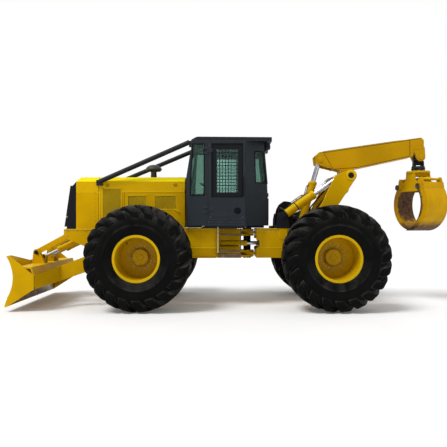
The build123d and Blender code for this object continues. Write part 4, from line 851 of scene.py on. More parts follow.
# ---------------------------------------------------------------- view and stage
@dataclass
class Studio:
    """Camera, floor, sky and lamps."""

    stand: Point = (0.277, 10.55, 1.54)
    lens: float = 42.93
    film: float = 36.0
    floor_size: float = 60.0
    sun_way: Point = (0.55, 0.45, 1.0)
    sun_strength: float = 1.95
    sun_spread: float = math.radians(24)
    sky_light: float = 0.53

    def build(self) -> None:
        """Build the whole studio."""
        self.camera()
        self.floor()
        self.sky()
        self.lamp()

    def camera(self) -> None:
        """Stand a level camera at the machine's left side."""
        data = bpy.data.cameras.new("side_camera")
        data.lens = self.lens
        data.sensor_width = self.film
        view = placed("side_camera", data)
        view.location = self.stand
        view.rotation_euler = (math.pi / 2, 0, math.pi)
        bpy.context.scene.camera = view

    def floor(self) -> None:
        """Lay a plain pale floor."""
        bm = bmesh.new()
        bmesh.ops.create_grid(bm, x_segments=4, y_segments=4, size=self.floor_size)
        mesh = bpy.data.meshes.new("floor")
        bm.to_mesh(mesh)
        bm.free()
        graph = Graph(bpy.data.materials.new("pale_floor"))
        base = graph.blend(graph.cloud(0.8, 3, 0.3, 0.7), linear((250, 250, 250)), linear((254, 254, 254)))
        mesh.materials.append(
            graph.surface(
                Base_Color=base, Roughness=0.9, Specular_IOR_Level=0.1, Emission_Color=linear((255, 255, 255)),
                Emission_Strength=0.06,
            )
        )
        ground = placed("floor", mesh)
        ground.location = (0, 0, -0.001)

    def sky(self) -> None:
        """Light the scene from all round, with plain white behind the machine."""
        world = bpy.data.worlds.new("studio_sky")
        bpy.context.scene.world = world
        graph = Graph(world, "World")
        rays = graph.node("ShaderNodeLightPath").outputs
        seen = graph.maths("MAXIMUM", rays["Is Camera Ray"], rays["Is Glossy Ray"])
        seen = graph.maths("MAXIMUM", seen, rays["Is Transmission Ray"])
        light = graph.node("ShaderNodeBackground")
        graph.join(graph.between(seen, 0.0, 1.0, self.sky_light, 1.0), light.inputs["Strength"])
        graph.join((1, 1, 1, 1), light.inputs["Color"])
        graph.join(light.outputs[0], graph.output.inputs["Surface"])

    def lamp(self) -> None:
        """Hang one wide soft lamp high over the front left."""
        data = bpy.data.lights.new("soft_lamp", "SUN")
        data.energy = self.sun_strength
        data.angle = self.sun_spread
        lamp = placed("soft_lamp", data)
        lamp.rotation_euler = Vector(self.sun_way).to_track_quat("Z", "Y").to_euler()


# ---------------------------------------------------------------- hoses
@dataclass
class Hoses:
    """Four hydraulic hoses that hump over the articulation to the valve bank."""

    radius: float = 0.017
    start_x: float = -0.7003
    lead_x: float = -0.857
    rise_x: float = -0.845
    fall_x: float = -1.005
    start_height: float = 1.467
    end_height: float = 1.6003
    rows: tuple[Quad, ...] = (
        (-0.165, 1.946, 0.015, 0.971), (-0.055, 1.901, -0.01, 0.881), (0.055, 1.961, 0.0, 0.995),
        (0.165, 1.876, -0.02, 0.832)
    )

    def build(self) -> None:
        for number, (across, hump, forward, length) in enumerate(self.rows, 1):
            route = [
                (self.start_x, across, self.start_height),
                (self.lead_x, across, self.start_height),
                (self.rise_x + forward, across, hump),
                (self.fall_x, across, hump),
                (self.fall_x, across, self.end_height),
            ]
            self.hose(f"hydraulic_hose_{number}", route, length)

    def hose(self, name: str, route: Sequence[Point], length: float) -> None:
        """Draw one hose.

        Args:
            name: its piece name.
            route: the points that it follows.
            length: its real length.
        """
        curve = bpy.data.curves.new(name, "CURVE")
        curve.dimensions = "3D"
        curve.bevel_depth = self.radius
        curve.bevel_resolution = 4
        curve.resolution_u = 16
        curve.use_fill_caps = True
        spline = curve.splines.new("NURBS")
        spline.points.add(len(route) - 1)
        for point, place in zip(spline.points, route):
            point.co = (*place, 1.0)
        spline.order_u = 3
        spline.use_endpoint_u = True
        curve.materials.append(HOSE.material())
        piece = placed(name, curve)
        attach(piece, "rear_machine")
        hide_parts("hydraulic_hoses")
        LOG.info("%s: hose of %.3f m", name, length)


# ---------------------------------------------------------------- wheels
@dataclass
class Wheel:
    """One tyre on its rim: casing, lugs, bolt circles and hub."""

    label: str
    axle_x: float
    side: Side
    track: float = 1.15
    lugs: int = 20
    skew: float = math.radians(18.0)
    lug_width: float = math.radians(10.6)
    stagger: float = math.radians(9.0)
    lug_cuts: int = 9
    lug_bevel: float = 0.16
    disc_inset: float = 0.215
    nut_rows: tuple[tuple[float, int, float], ...] = ((0.205, 20, 0.013), (0.262, 10, 0.009))
    hub_bolts: int = 8
    section: tuple[Pair, ...] = (
        (0.3835, 0.318), (0.4, 0.3295), (0.416, 0.3305), (0.4165, 0.346), (0.428, 0.352), (0.452, 0.357),
        (0.476, 0.364), (0.52, 0.374), (0.545, 0.38), (0.552, 0.384), (0.566, 0.384), (0.573, 0.381), (0.62, 0.384),
        (0.68, 0.383), (0.735, 0.374), (0.775, 0.358), (0.806, 0.332), (0.834, 0.29), (0.851, 0.225), (0.862, 0.12),
        (0.864, 0.0),
    )
    lug_top: tuple[Point, ...] = (
        (0.0, -0.03, 0.9345), (0.25, 0.12, 0.933), (0.45, 0.235, 0.9265), (0.6, 0.312, 0.912),
        (0.71, 0.354, 0.887), (0.82, 0.377, 0.845), (0.91, 0.384, 0.79), (1.0, 0.3835, 0.715),
    )
    lug_foot: tuple[Point, ...] = (
        (0.0, -0.03, 0.855), (0.25, 0.12, 0.852), (0.45, 0.225, 0.842), (0.6, 0.285, 0.824),
        (0.71, 0.318, 0.806), (0.82, 0.34, 0.784), (0.91, 0.352, 0.75), (1.0, 0.368, 0.7),
    )

    def __post_init__(self) -> None:
        """Work out where the wheel stands and turns."""
        self.body = f"wheel_{self.label}"
        self.centre = (self.axle_x, self.side.value * self.track, AXLE_HEIGHT)
        self.out = (0.0, float(self.side.value), 0.0)

    def build(self) -> None:
        """Build the tyre and the rim's fittings, and paint the rim."""
        self.tyre()
        self.fittings()
        dress(RIM_YELLOW, f"rim_{self.label}")

    def tyre(self) -> None:
        """Lathe the casing and set the lugs around it, staggered from side to side."""
        work = Workpiece(f"tyre_{self.label}_rubber")
        profile = [(r, -a) for r, a in self.section] + [(r, a) for r, a in reversed(self.section[:-1])]
        work.lathe(profile + [profile[0]], self.centre, self.out, 96)
        for hand, start in ((1, 0.0), (-1, self.stagger)):
            lugs = Workpiece("lugs")
            self.lug(lugs, hand, start)
            work.merge(lugs)
        work.done(self.body, TYRE, replaces=[f"tyre_{self.label}"], smooth=42)

    def lug(self, work: Workpiece, hand: int, start: float) -> None:
        """Shape one side's lug as a straight bar, bend it onto the tyre and repeat it round.

        Args:
            work: empty mesh for the lugs.
            hand: 1 for the outboard lugs, -1 for the inboard ones.
            start: angle of the first lug.
        """
        verts = bmesh.ops.create_cube(work.bm, size=1.0)["verts"]
        bmesh.ops.translate(work.bm, verts=verts, vec=(0.5, 0, 0.5))
        lengthwise = [e for e in work.bm.edges if abs(e.verts[0].co.x - e.verts[1].co.x) > 0.5]
        bmesh.ops.subdivide_edges(work.bm, edges=lengthwise, cuts=self.lug_cuts, use_grid_fill=True)
        rims = [e for e in work.bm.edges if min(v.co.z for v in e.verts) > 0.9 and e.calc_face_angle(0.0) > 0.5]
        work.bevel(rims, self.lug_bevel, 2)
        for vert in work.bm.verts:
            vert.co = self.on_tyre(vert.co, hand, start)
        work.around(work.bm.verts, self.centre, self.out, self.lugs)

    def on_tyre(self, spot: Vector, hand: int, start: float) -> Vector:
        """Bend a straight bar's point onto the tyre.

        Args:
            spot: 0 to 1 along the lug, across it about 0, and 0 to 1 up it.
            hand: side of the tread.
            start: angle of the lug.

        Returns:
            The point on the tyre.
        """
        foot, top = self.along(self.lug_foot, spot.x), self.along(self.lug_top, spot.x)
        offset, radius = foot.lerp(top, spot.z)
        spread = 1.0 + 0.22 * (1 - spot.z)
        taper = 0.72 + 0.28 * min(1.0, spot.x / 0.75)
        angle = start - self.skew * spot.x + spot.y * self.lug_width * spread * taper
        turned = Vector((radius * math.sin(angle), hand * offset * self.side.value, radius * math.cos(angle)))
        return Vector(self.centre) + turned

    @staticmethod
    def along(path: Sequence[Point], share: float) -> Vector:
        """Return (offset, radius) at a share of a path."""
        for before, after in zip(path, path[1:]):
            if share <= after[0]:
                part = (share - before[0]) / (after[0] - before[0])
                return Vector(before[1:]).lerp(Vector(after[1:]), part)
        return Vector(path[-1][1:])

    def fittings(self) -> None:
        """Set the wheel nuts, the disc's and the hub's bolts, the hub cover and the valve."""
        x, y, z = self.centre
        out = self.side.value
        disc = y - out * self.disc_inset
        nuts = Workpiece(f"rim_{self.label}_nuts")
        for radius, count, size in self.nut_rows:
            nuts.bolt_circle((x, disc, z + radius), self.out, size, self.centre, self.out, count)
        nuts.bolt_circle((x, y - out * 0.12, z + 0.112), self.out, 0.01, self.centre, self.out, self.hub_bolts)
        nuts.done(self.body, ZINC)
        hub = Workpiece(f"rim_{self.label}_hub_cover")
        profile = ((0.0, -0.105), (0.052, -0.107), (0.06, -0.113), (0.062, -0.121), (0.0, -0.121))
        hub.lathe(profile, self.centre, self.out, 32)
        ring = ((0.142, -0.216), (0.16, -0.207), (0.172, -0.207), (0.18, -0.216), (0.142, -0.216))
        hub.lathe(ring, self.centre, self.out, 48)
        hub.done(self.body, RIM_YELLOW)
        valve = Workpiece(f"rim_{self.label}_valve")
        foot = Vector((x + 0.245, disc, z + 0.245))
        profile = (
            (0.0, -0.002), (0.012, 0.0), (0.01, 0.014), (0.006, 0.018), (0.006, 0.052), (0.009, 0.054),
            (0.009, 0.066), (0.0, 0.068),
        )
        valve.lathe(profile, foot, self.out, 12)
        valve.done(self.body, PLASTIC)


# ---------------------------------------------------------------- hood and nose
@dataclass
class Nose:
    """Hood, engine side panels and the sloping nose with its grille door."""

    half_width: float = 0.48
    hood_rear: float = 1.005
    hood_front: float = 3.06
    foot: float = 1.436
    crease: float = 2.126
    shoulder: float = 2.33
    top: float = 2.42
    top_half: float = 0.39
    nose_seam: float = 2.64
    rib_end: float = 2.196
    cleaner: Point = (1.657, 0.0, 0.0)
    screens: tuple[Quad, ...] = (
        (2.564, 2.205, 1.56, 2.205), (2.092, 1.723, 1.56, 2.071), (1.583, 1.169, 1.805, 2.071)
    )
    grille_foot: Pair = (3.283, 1.48)
    lean: Pair = (-0.143, 0.99)
    grille_height: float = 0.783
    slats: int = 21
    slat_start: float = 0.085
    slat_pitch: float = 0.0305
    rivets: int = 7
    rivet_pitch: float = 0.085

    def build(self) -> None:
        """Build the hood's and nose's details."""
        self.screen_sheets()
        self.sheet_seams()
        self.fasteners()
        self.grille()
        self.precleaner()

    def screen_sheets(self) -> None:
        """Lay punched screens in the recesses and frame them with folded edges."""
        sheets = Workpiece("hood_screens")
        edges = Workpiece("hood_screen_frames")
        face = self.half_width
        front, rear, bottom, top = self.screens[0]
        sheets.block((rear + 0.006, face - 0.0078, bottom + 0.006), (front - 0.006, face + 0.004, top - 0.006))
        edges.border((front, rear), (bottom, top), face, 0.007, (0.018, 0.014))
        edges.block((2.606, face - 0.002, self.foot + 0.01), (2.632, face + 0.0035, self.crease - 0.004))
        for front, rear, bottom, top in self.screens[1:]:
            sheets.block((rear + 0.003, face - 0.0078, bottom + 0.003), (front - 0.003, face - 0.0045, top - 0.003))
            middle = (front + rear) / 2
            edges.border((front, rear), (bottom, top), face, 0.007, (0.016, 0.007))
            for z in (bottom + 0.05, top - 0.05):
                edges.bolt((middle, face - 0.005, z), ACROSS, 0.008)
        sheets.both_sides().done(FRONT, SCREEN)
        # The frames take the lighter yellow: a painted highlight round the screens.
        edges.soften(0.002, 1).both_sides().done(FRONT, LIT_YELLOW)

    def sheet_seams(self) -> None:
        """Draw the joints between sheets as thin dark gaps, and the crease as a folded rib."""
        gaps = Workpiece("hood_seams")
        face = self.half_width
        seam = self.nose_seam
        for x in (self.rib_end - 0.045, seam):
            gaps.beam((x, face, self.foot + 0.01), (x, face, self.crease - 0.004), *GAP_SECTION, ACROSS)
        gaps.beam((seam, face, self.crease + 0.016), (seam, face, self.shoulder), *GAP_SECTION, ACROSS)
        gaps.beam((seam, face, self.shoulder), (seam, self.top_half, self.top), *GAP_SECTION, (0, 1, 1))
        gaps.beam((seam, self.top_half, self.top), (seam, 0.0, self.top), *GAP_SECTION)
        gaps.both_sides().done(FRONT, SEAL, slot=Slot.BLACK)
        rib = Workpiece("hood_crease_rib")
        rib.block(
            (self.hood_rear + 0.003, face - 0.002, self.crease + 0.002),
            (self.rib_end, face + 0.005, self.crease + 0.014),
        )
        rib.block(
            (self.hood_rear + 0.003, face - 0.002, self.shoulder - 0.006),
            (self.hood_front - 0.003, face + 0.0025, self.shoulder + 0.002),
        )
        rib.block(
            (self.hood_rear, face - 0.002, self.crease + 0.02),
            (self.hood_rear + 0.018, face + 0.006, self.shoulder - 0.01),
        )
        # The rib takes the lighter yellow: a painted highlight along the crease and the shoulder.
        rib.soften(0.002, 2).both_sides().done(FRONT, LIT_YELLOW)

    def fasteners(self) -> None:
        """Set rivets, latches and catches."""
        rivets = Workpiece("hood_rivets")
        face = self.half_width
        for step in range(self.rivets):
            rivets.bolt((2.706, face, 1.6 + step * self.rivet_pitch), ACROSS, 0.008)
        for x in (1.06, 1.36, 1.95, 2.35, 2.92):
            rivets.bolt((x, face, 2.22), ACROSS, 0.007)
        for x in (1.1, 1.5, 1.9, 2.3, 2.55, 2.9):
            rivets.bolt((x, 0.35, self.top), UP, 0.009)
        rivets.both_sides().done(FRONT, LIT_YELLOW)
        latches = Workpiece("hood_latches")
        for x, z in ((2.46, 2.26), (1.18, 2.27)):
            spot = Vector((x, face, z))
            profile = ((0.0, -0.001), (0.03, 0.0), (0.03, 0.006), (0.02, 0.01), (0.0, 0.01))
            latches.lathe(profile, spot, ACROSS, 24)
            latches.rod(spot + Vector((0.026, 0, 0)), spot + Vector((0.026, 0.008, 0)), 0.022, sides=20)
        latches.soften(0.002, 1).both_sides().done(FRONT, SCREEN)
        catches = Workpiece("hood_catches")
        for x, z in ((1.155, 1.776), (1.66, 1.65)):
            along = Vector((0.045, 0, 0.032))
            spot = Vector((x, face, z))
            catches.rod(spot, spot + Vector((0, 0.012, 0)), 0.02, sides=20)
            middle = spot + Vector((0, 0.014, 0))
            catches.beam(middle - along, middle + along, 0.018, 0.01, ACROSS)
        catches.soften(0.002, 1).both_sides().done(FRONT, LIT_YELLOW)

    def on_grille(self, up: float, out: float, across: float = 0.0) -> Vector:
        """Return a point of the grille door, from its height along the slope and its distance out of the face."""
        x, z = self.grille_foot
        return Vector(
            (x + self.lean[0] * up + self.lean[1] * out, across, z + self.lean[1] * up - self.lean[0] * out)
        )

    def grille(self) -> None:
        """Fill the door with slats, a guard and a latch."""
        slats = Workpiece("grille_slats")
        face = (0.99, 0, 0.143)
        for step in range(self.slats):
            up = self.slat_start + step * self.slat_pitch
            left, right = (self.on_grille(up, -0.008, across) for across in (-0.405, 0.405))
            slats.beam(left, right, 0.016, 0.005, (-0.55, 0, 0.83))
        for across in (-0.27, 0.0, 0.27):
            foot, head = (self.on_grille(up, -0.004, across) for up in (0.065, self.grille_height - 0.065))
            slats.beam(foot, head, 0.012, 0.008, face)
        slats.soften(0.0012, 1).done("grille_door", PLASTIC)
        frame_edge = Workpiece("grille_frame")
        for across in (-0.438, 0.438):
            foot, head = (self.on_grille(up, 0.001, across) for up in (0.02, self.grille_height - 0.02))
            frame_edge.beam(foot, head, 0.03, 0.006, face)
            for up in (0.05, 0.22, 0.39, 0.56, 0.73):
                frame_edge.bolt(self.on_grille(up, 0.003, across), face, 0.009)
        for up in (0.03, self.grille_height - 0.03):
            frame_edge.beam(
                self.on_grille(up, 0.001, -0.45), self.on_grille(up, 0.001, 0.45), 0.006, 0.03, (-0.143, 0, 0.99)
            )
        frame_edge.soften(0.0015, 1).done("grille_door", BLACK)
        latch = Workpiece("grille_latch")
        spot = self.on_grille(0.19, -0.022, 0.473)
        profile = (
            (0.0, -0.001), (0.017, 0.0), (0.017, 0.005), (0.01, 0.008), (0.01, 0.014), (0.016, 0.017),
            (0.016, 0.026), (0.0, 0.029),
        )
        latch.lathe(profile, spot, ACROSS, 24)
        latch.done("grille_door", ZINC)
        ledge = Workpiece("nose_ledge_bolts")
        for across in (-0.4, -0.24, 0.24, 0.4):
            ledge.bolt((3.262, across, 1.436), UP, 0.011)
        ledge.done(FRONT, ZINC)

    def precleaner(self) -> None:
        """Shape the air precleaner: a stem, a flared skirt with fins, and a domed cap."""
        dome = Workpiece("air_precleaner_dome")
        profile = (
            (0.0, 2.421), (0.058, 2.421), (0.056, 2.56), (0.072, 2.578), (0.148, 2.59), (0.1605, 2.598),
            (0.1625, 2.608), (0.158, 2.618), (0.146, 2.64), (0.124, 2.662), (0.092, 2.682), (0.052, 2.694),
            (0.016, 2.697), (0.014, 2.6995), (0.0, 2.6995),
        )
        dome.lathe(profile, self.cleaner, UP, 64)
        dome.done(FRONT, PLASTIC, slot=Slot.BLACK, replaces=["air_precleaner"])
        fins = Workpiece("air_precleaner_fins")
        x = self.cleaner[0]
        fins.beam((x + 0.06, 0, 2.572), (x + 0.14, 0, 2.58), 0.003, 0.018)
        fins.around(fins.bm.verts, self.cleaner, UP, 28)
        profile = ((0.054, 2.47), (0.062, 2.472), (0.062, 2.486), (0.054, 2.488), (0.054, 2.47))
        fins.lathe(profile, self.cleaner, UP, 32)
        fins.done(FRONT, PLASTIC, slot=Slot.BLACK)


# ---------------------------------------------------------------- cab
@dataclass
class Cab:
    """Cab skin details: window seals, guards, door furniture, roof and rear."""

    half_width: float = 0.78
    window: Quad = (0.482, -0.062, 2.035, 2.996)
    mesh: Quad = (0.408, 0.01, 2.112, 2.9)
    quarter: tuple[Pair, ...] = ((0.836, 2.995), (0.638, 2.995), (0.638, 2.065), (0.876, 2.065), (0.876, 2.29))
    corner: Point = (-0.355, 0.59, 0.0)
    corner_slope: float = math.atan2(0.38, 0.45)
    rear_quarter: tuple[Pair, ...] = ((0.062, 2.88), (-0.148, 2.88), (-0.222, 2.31), (0.038, 2.31))
    knee: Point = (0.974, 0.0, 2.27)
    brow: Point = (0.873, 0.0, 2.9)
    rear_knee: Point = (-0.552, 0.0, 2.28)
    rear_brow: Point = (-0.497, 0.0, 2.9)
    bar_pitch: float = 0.06
    rails: int = 5

    def build(self) -> None:
        """Build the cab's details, side by side and then its ends and roof."""
        for side in Side:
            self.door(side)
        self.skin()
        self.quarters()
        self.ends()
        self.roof()
        self.steps()

    def door(self, side: Side) -> None:
        """Give one door its seal, wire guard, lock, pressed panel and pull.

        Args:
            side: which door.
        """
        name = f"door_{side.name.lower()}"
        face = side.value * self.half_width
        out = side.value
        front, rear, bottom, top = self.window
        seal = Workpiece(f"{name}_seal")
        seal.border((front + 0.008, rear - 0.008), (bottom - 0.008, top + 0.008), face, 0.01, SEAL_SECTION)
        seal.soften(0.004, 2).done(name, SEAL)
        guard = Workpiece(f"{name}_guard_frame")
        inner = face - out * 0.0085
        mesh_front, mesh_rear, mesh_bottom, mesh_top = self.mesh
        for low, high in ((mesh_front, front - 0.002), (rear + 0.002, mesh_rear)):
            x = (low + high) / 2
            guard.beam((x, inner, mesh_bottom), (x, inner, mesh_top), high - low, 0.005, ACROSS)
        for low, high in ((bottom + 0.002, mesh_bottom), (mesh_top, top - 0.002)):
            z = (low + high) / 2
            guard.beam((rear + 0.002, inner, z), (front - 0.002, inner, z), high - low, 0.005, ACROSS)
        guard.soften(0.0012, 1).done(name, BLACK)
        wires = Workpiece(f"{name}_guard_mesh")
        columns, rows, wire = 7, 13, 0.0048
        for column in range(1, columns):
            x = mesh_rear + (mesh_front - mesh_rear) * column / columns
            wires.rod((x, inner, mesh_bottom - 0.004), (x, inner, mesh_top + 0.004), wire, sides=8)
        for row in range(1, rows):
            z = mesh_bottom + (mesh_top - mesh_bottom) * row / rows
            y = inner + out * 0.003
            wires.rod((mesh_rear - 0.004, y, z), (mesh_front + 0.004, y, z), wire, sides=8)
        wires.done(name, BLACK)
        lock = Workpiece(f"{name}_lock")
        profile = (
            (0.0, -0.002), (0.06, -0.001), (0.062, 0.004), (0.054, 0.008), (0.044, 0.003), (0.03, 0.003),
            (0.028, 0.014), (0.0, 0.016),
        )
        lock.lathe(profile, (0.019, face, 1.773), (0, out, 0), 36)
        lock.done(name, SEAL)
        skin = Workpiece(f"{name}_pressings")
        for low, high in (((0.0, 1.688), (0.51, 1.7)), ((-0.085, 2.006), (0.515, 2.014))):
            skin.block((low[0] - 0.02, face - 0.002, low[1]), (high[0], face + out * 0.004, high[1]))
        skin.block((0.525, face - 0.002, 1.72), (0.535, face + out * 0.0035, 3.0))
        skin.soften(0.0018, 1).done(name, SLATE)
        pull = Workpiece(f"{name}_pull")
        x = -0.094
        points = [(x, face - out * 0.004, 2.06), (x, face + out * 0.035, 2.075), (x, face + out * 0.042, 2.1)]
        points += [(x, face + out * 0.042, 2.36), (x, face + out * 0.035, 2.385), (x, face - out * 0.004, 2.4)]
        pull.pipe(points, 0.01)
        pull.done(name, BLACK)

    def skin(self) -> None:
        """Draw panel joints and the sill on the cab's sides."""
        joints = Workpiece("cab_joints")
        face = self.half_width
        lines = (((0.59, 2.055), (0.862, 2.055)), ((0.592, 1.53), (0.592, 3.05)), ((0.584, 1.64), (0.15, 1.64)))
        joints.strips(lines, face, JOINT_SECTION)
        joints.both_sides().done(FRONT, SLATE_DARK)
        sill = Workpiece("cab_sill")
        sill.block((-0.12, face - 0.002, 1.502), (0.59, face + 0.012, 1.52))
        sill.block((-0.12, face - 0.002, 1.6), (0.59, face + 0.01, 1.612))
        sill.block((-0.11, face - 0.002, 1.54), (0.56, face + 0.003, 1.585))
        for x in (-0.08, 0.12, 0.34, 0.55):
            sill.bolt((x, face + 0.002, 1.562), ACROSS, 0.008)
        sill.soften(0.002, 1).both_sides().done(FRONT, SLATE)

    def seal_round(self, work: Workpiece, corners: Sequence[Vector], out: Vector) -> None:
        """Run a rubber seal round a window.

        Args:
            work: mesh that takes the seal.
            corners: the window's corners, in order.
            out: the way that the window faces.
        """
        middle = sum(corners, Vector()) / len(corners)
        for start, end in zip(corners, [*corners[1:], corners[0]]):
            along = (end - start).normalized()
            away = along.cross(out)
            away = away if away.dot((start + end) / 2 - middle) > 0 else -away
            work.beam(start + away * 0.006 - along * 0.012, end + away * 0.006 + along * 0.012, *SEAL_SECTION, out)

    def quarters(self) -> None:
        """Seal the front and rear quarter windows."""
        seal = Workpiece("cab_quarter_seals")
        face = self.half_width
        self.seal_round(seal, [Vector((x, face, z)) for x, z in self.quarter], Vector(ACROSS))
        out = Vector((-math.sin(self.corner_slope), math.cos(self.corner_slope), 0))
        along = Vector((out.y, -out.x, 0))
        centre = Vector(self.corner)
        corners = [centre + along * a + Vector((0, 0, z)) for a, z in self.rear_quarter]
        self.seal_round(seal, corners, out)
        seal.soften(0.004, 1).both_sides().done(FRONT, SEAL)
        lines = Workpiece("cab_corner_joints")
        for height in (2.055, 2.235):
            ends = [centre + along * a + Vector((0, 0, height)) for a in (0.28, -0.275)]
            lines.beam(ends[0], ends[1], *JOINT_SECTION, out)
        lines.beam(
            centre + along * 0.04 + Vector((0, 0, 2.235)), centre + along * -0.275 + Vector((0, 0, 1.9)),
            *JOINT_SECTION, out,
        )
        lines.both_sides().done(FRONT, SLATE_DARK)

    @staticmethod
    def between(low: Vector, high: Vector, height: float, across: float, out: float) -> Vector:
        """Return a point of a leaning end wall.

        Args:
            low: foot of the wall's slope.
            high: head of it.
            height: height of the point.
            across: its Y.
            out: how far out of the wall, towards +X.

        Returns:
            The point.
        """
        share = (height - low.z) / (high.z - low.z)
        return Vector((low.x + share * (high.x - low.x) + out, across, height))

    def ends(self) -> None:
        """Seal and guard the windshield and the rear window, and add the wiper and the rear latch."""
        seal = Workpiece("cab_screen_seals")
        bars = Workpiece("cab_screen_guards")
        plans = (
            (Vector(self.knee), Vector(self.brow), 0.54, 2.3, 2.86, 1),
            (Vector(self.rear_knee), Vector(self.rear_brow), 0.28, 2.32, 2.87, -1),
        )
        for low, high, half, bottom, top, way in plans:
            slope = (high - low).normalized()
            out = Vector((slope.z, 0, -slope.x)) * way
            spots = ((half, bottom), (half, top), (-half, top), (-half, bottom))
            self.seal_round(seal, [self.between(low, high, z, y, 0.0) for y, z in spots], out)
            count = round(2 * half / self.bar_pitch)
            for step in range(count + 1):
                across = -half + 2 * half * step / count
                ends = [self.between(low, high, z, across, way * 0.022) for z in (bottom - 0.02, top + 0.02)]
                bars.rod(ends[0], ends[1], 0.0035, sides=6)
            for step in range(self.rails):
                height = bottom + (top - bottom) * step / (self.rails - 1)
                ends = [self.between(low, high, height, y, way * 0.017) for y in (-half - 0.02, half + 0.02)]
                bars.rod(ends[0], ends[1], 0.0045, sides=8)
                for end in ends:
                    bars.rod(end - out * 0.022, end + out * 0.004, 0.008, sides=10)
        seal.soften(0.004, 1).done(FRONT, SEAL)
        bars.done(FRONT, BLACK)
        wiper = Workpiece("cab_wiper")
        low, high = Vector(self.knee), Vector(self.brow)
        foot = self.between(low, high, 2.285, 0.05, 0.01)
        tip = self.between(low, high, 2.6, 0.24, 0.008)
        wiper.rod(foot - Vector((0.012, 0, 0)), foot + Vector((0.006, 0, 0)), 0.014, sides=16)
        wiper.rod(foot, tip, 0.004, sides=8)
        wiper.beam(
            self.between(low, high, 2.44, 0.235, 0.004), self.between(low, high, 2.77, 0.245, 0.004), 0.008, 0.012,
            AHEAD,
        )
        wiper.done(FRONT, PLASTIC)
        latch = Workpiece("cab_rear_latch")
        for height in (2.1, 1.7):
            latch.block((-0.606, -0.1, height - 0.035), (-0.555, 0.1, height + 0.035))
        latch.block((-0.588, -0.34, 1.6), (-0.56, 0.34, 2.02))
        latch.soften(0.004, 2).done(FRONT, SLATE_DARK)

    def roof(self) -> None:
        """Add the roof's pressings, edge bolts, hatch and rear lamps."""
        ribs = Workpiece("cab_roof_ribs")
        for across in (-0.4, -0.2, 0.2, 0.4):
            ribs.beam((0.66, across, 3.1365), (-0.5, across, 3.128), 0.06, 0.014)
        ribs.block((-0.14, -0.12, 3.122), (0.2, 0.12, 3.142))
        ribs.soften(0.006, 2).done(FRONT, SLATE_DARK)
        bolts = Workpiece("cab_roof_bolts")
        for x in (0.6, 0.3, 0.0):
            bolts.bolt((x, 0.7, 3.137 - (0.752 - x) * 0.0073), UP, 0.01)
        for x, z in ((0.76, 3.083), (0.45, 3.095), (0.15, 3.095)):
            bolts.bolt((x, 0.76, z), ACROSS, 0.008)
        bolts.both_sides().done(FRONT, SLATE_DARK)
        lamps = Workpiece("cab_rear_lamps")
        glass = Workpiece("cab_rear_lamp_lenses")
        for across in (-0.28, 0.28):
            lamps.block((-0.618, across - 0.085, 2.965), (-0.578, across + 0.085, 3.035))
            glass.block((-0.6215, across - 0.072, 2.976), (-0.6175, across + 0.072, 3.024))
        lamps.soften(0.004, 2).done(FRONT, PLASTIC)
        glass.soften(0.001, 1).done(FRONT, LENS)
        gutter = Workpiece("cab_roof_gutter")
        gutter.block((-0.6, 0.757, 3.06), (0.8, 0.772, 3.07))
        gutter.soften(0.002, 1).both_sides().done(FRONT, SLATE)

    def steps(self) -> None:
        """Edge the shelf and the ladder with pale strips, a painted highlight along the plate edges, and stud the
        treads.
        """
        # Pale strips along the shelf and ladder edges: a painted highlight.
        edge_highlight = Workpiece("step_edge_highlights")
        run = ((1.0, 1.462), (0.69, 1.462), (0.66, 1.492), (0.38, 1.492), (0.38, 0.995))
        edge_highlight.strips(zip(run, run[1:]), 0.672, (0.015, 0.013))
        edge_highlight.both_sides().done(FRONT, PALE_EDGE_HIGHLIGHT)
        skirt = Workpiece("cab_skirts")
        skirt.block((0.66, 0.596, 1.452), (1.0, 0.664, 1.504))
        skirt.block((-0.12, 0.3, 1.452), (0.66, 0.664, 1.506))
        skirt.block((-0.16, 0.5, 1.48), (0.62, 0.74, 1.508))
        skirt.soften(0.003, 1).both_sides().done(FRONT, SLATE_DARK)
        studs = Workpiece("step_studs")
        for top in (1.05, 1.35):
            for x in (0.02, 0.09, 0.16, 0.23, 0.3):
                for across in (0.59, 0.63):
                    studs.rod((x, across, top - 0.002), (x, across, top + 0.005), 0.011, tip=0.008, sides=12)
        studs.both_sides().done(FRONT, STEEL)


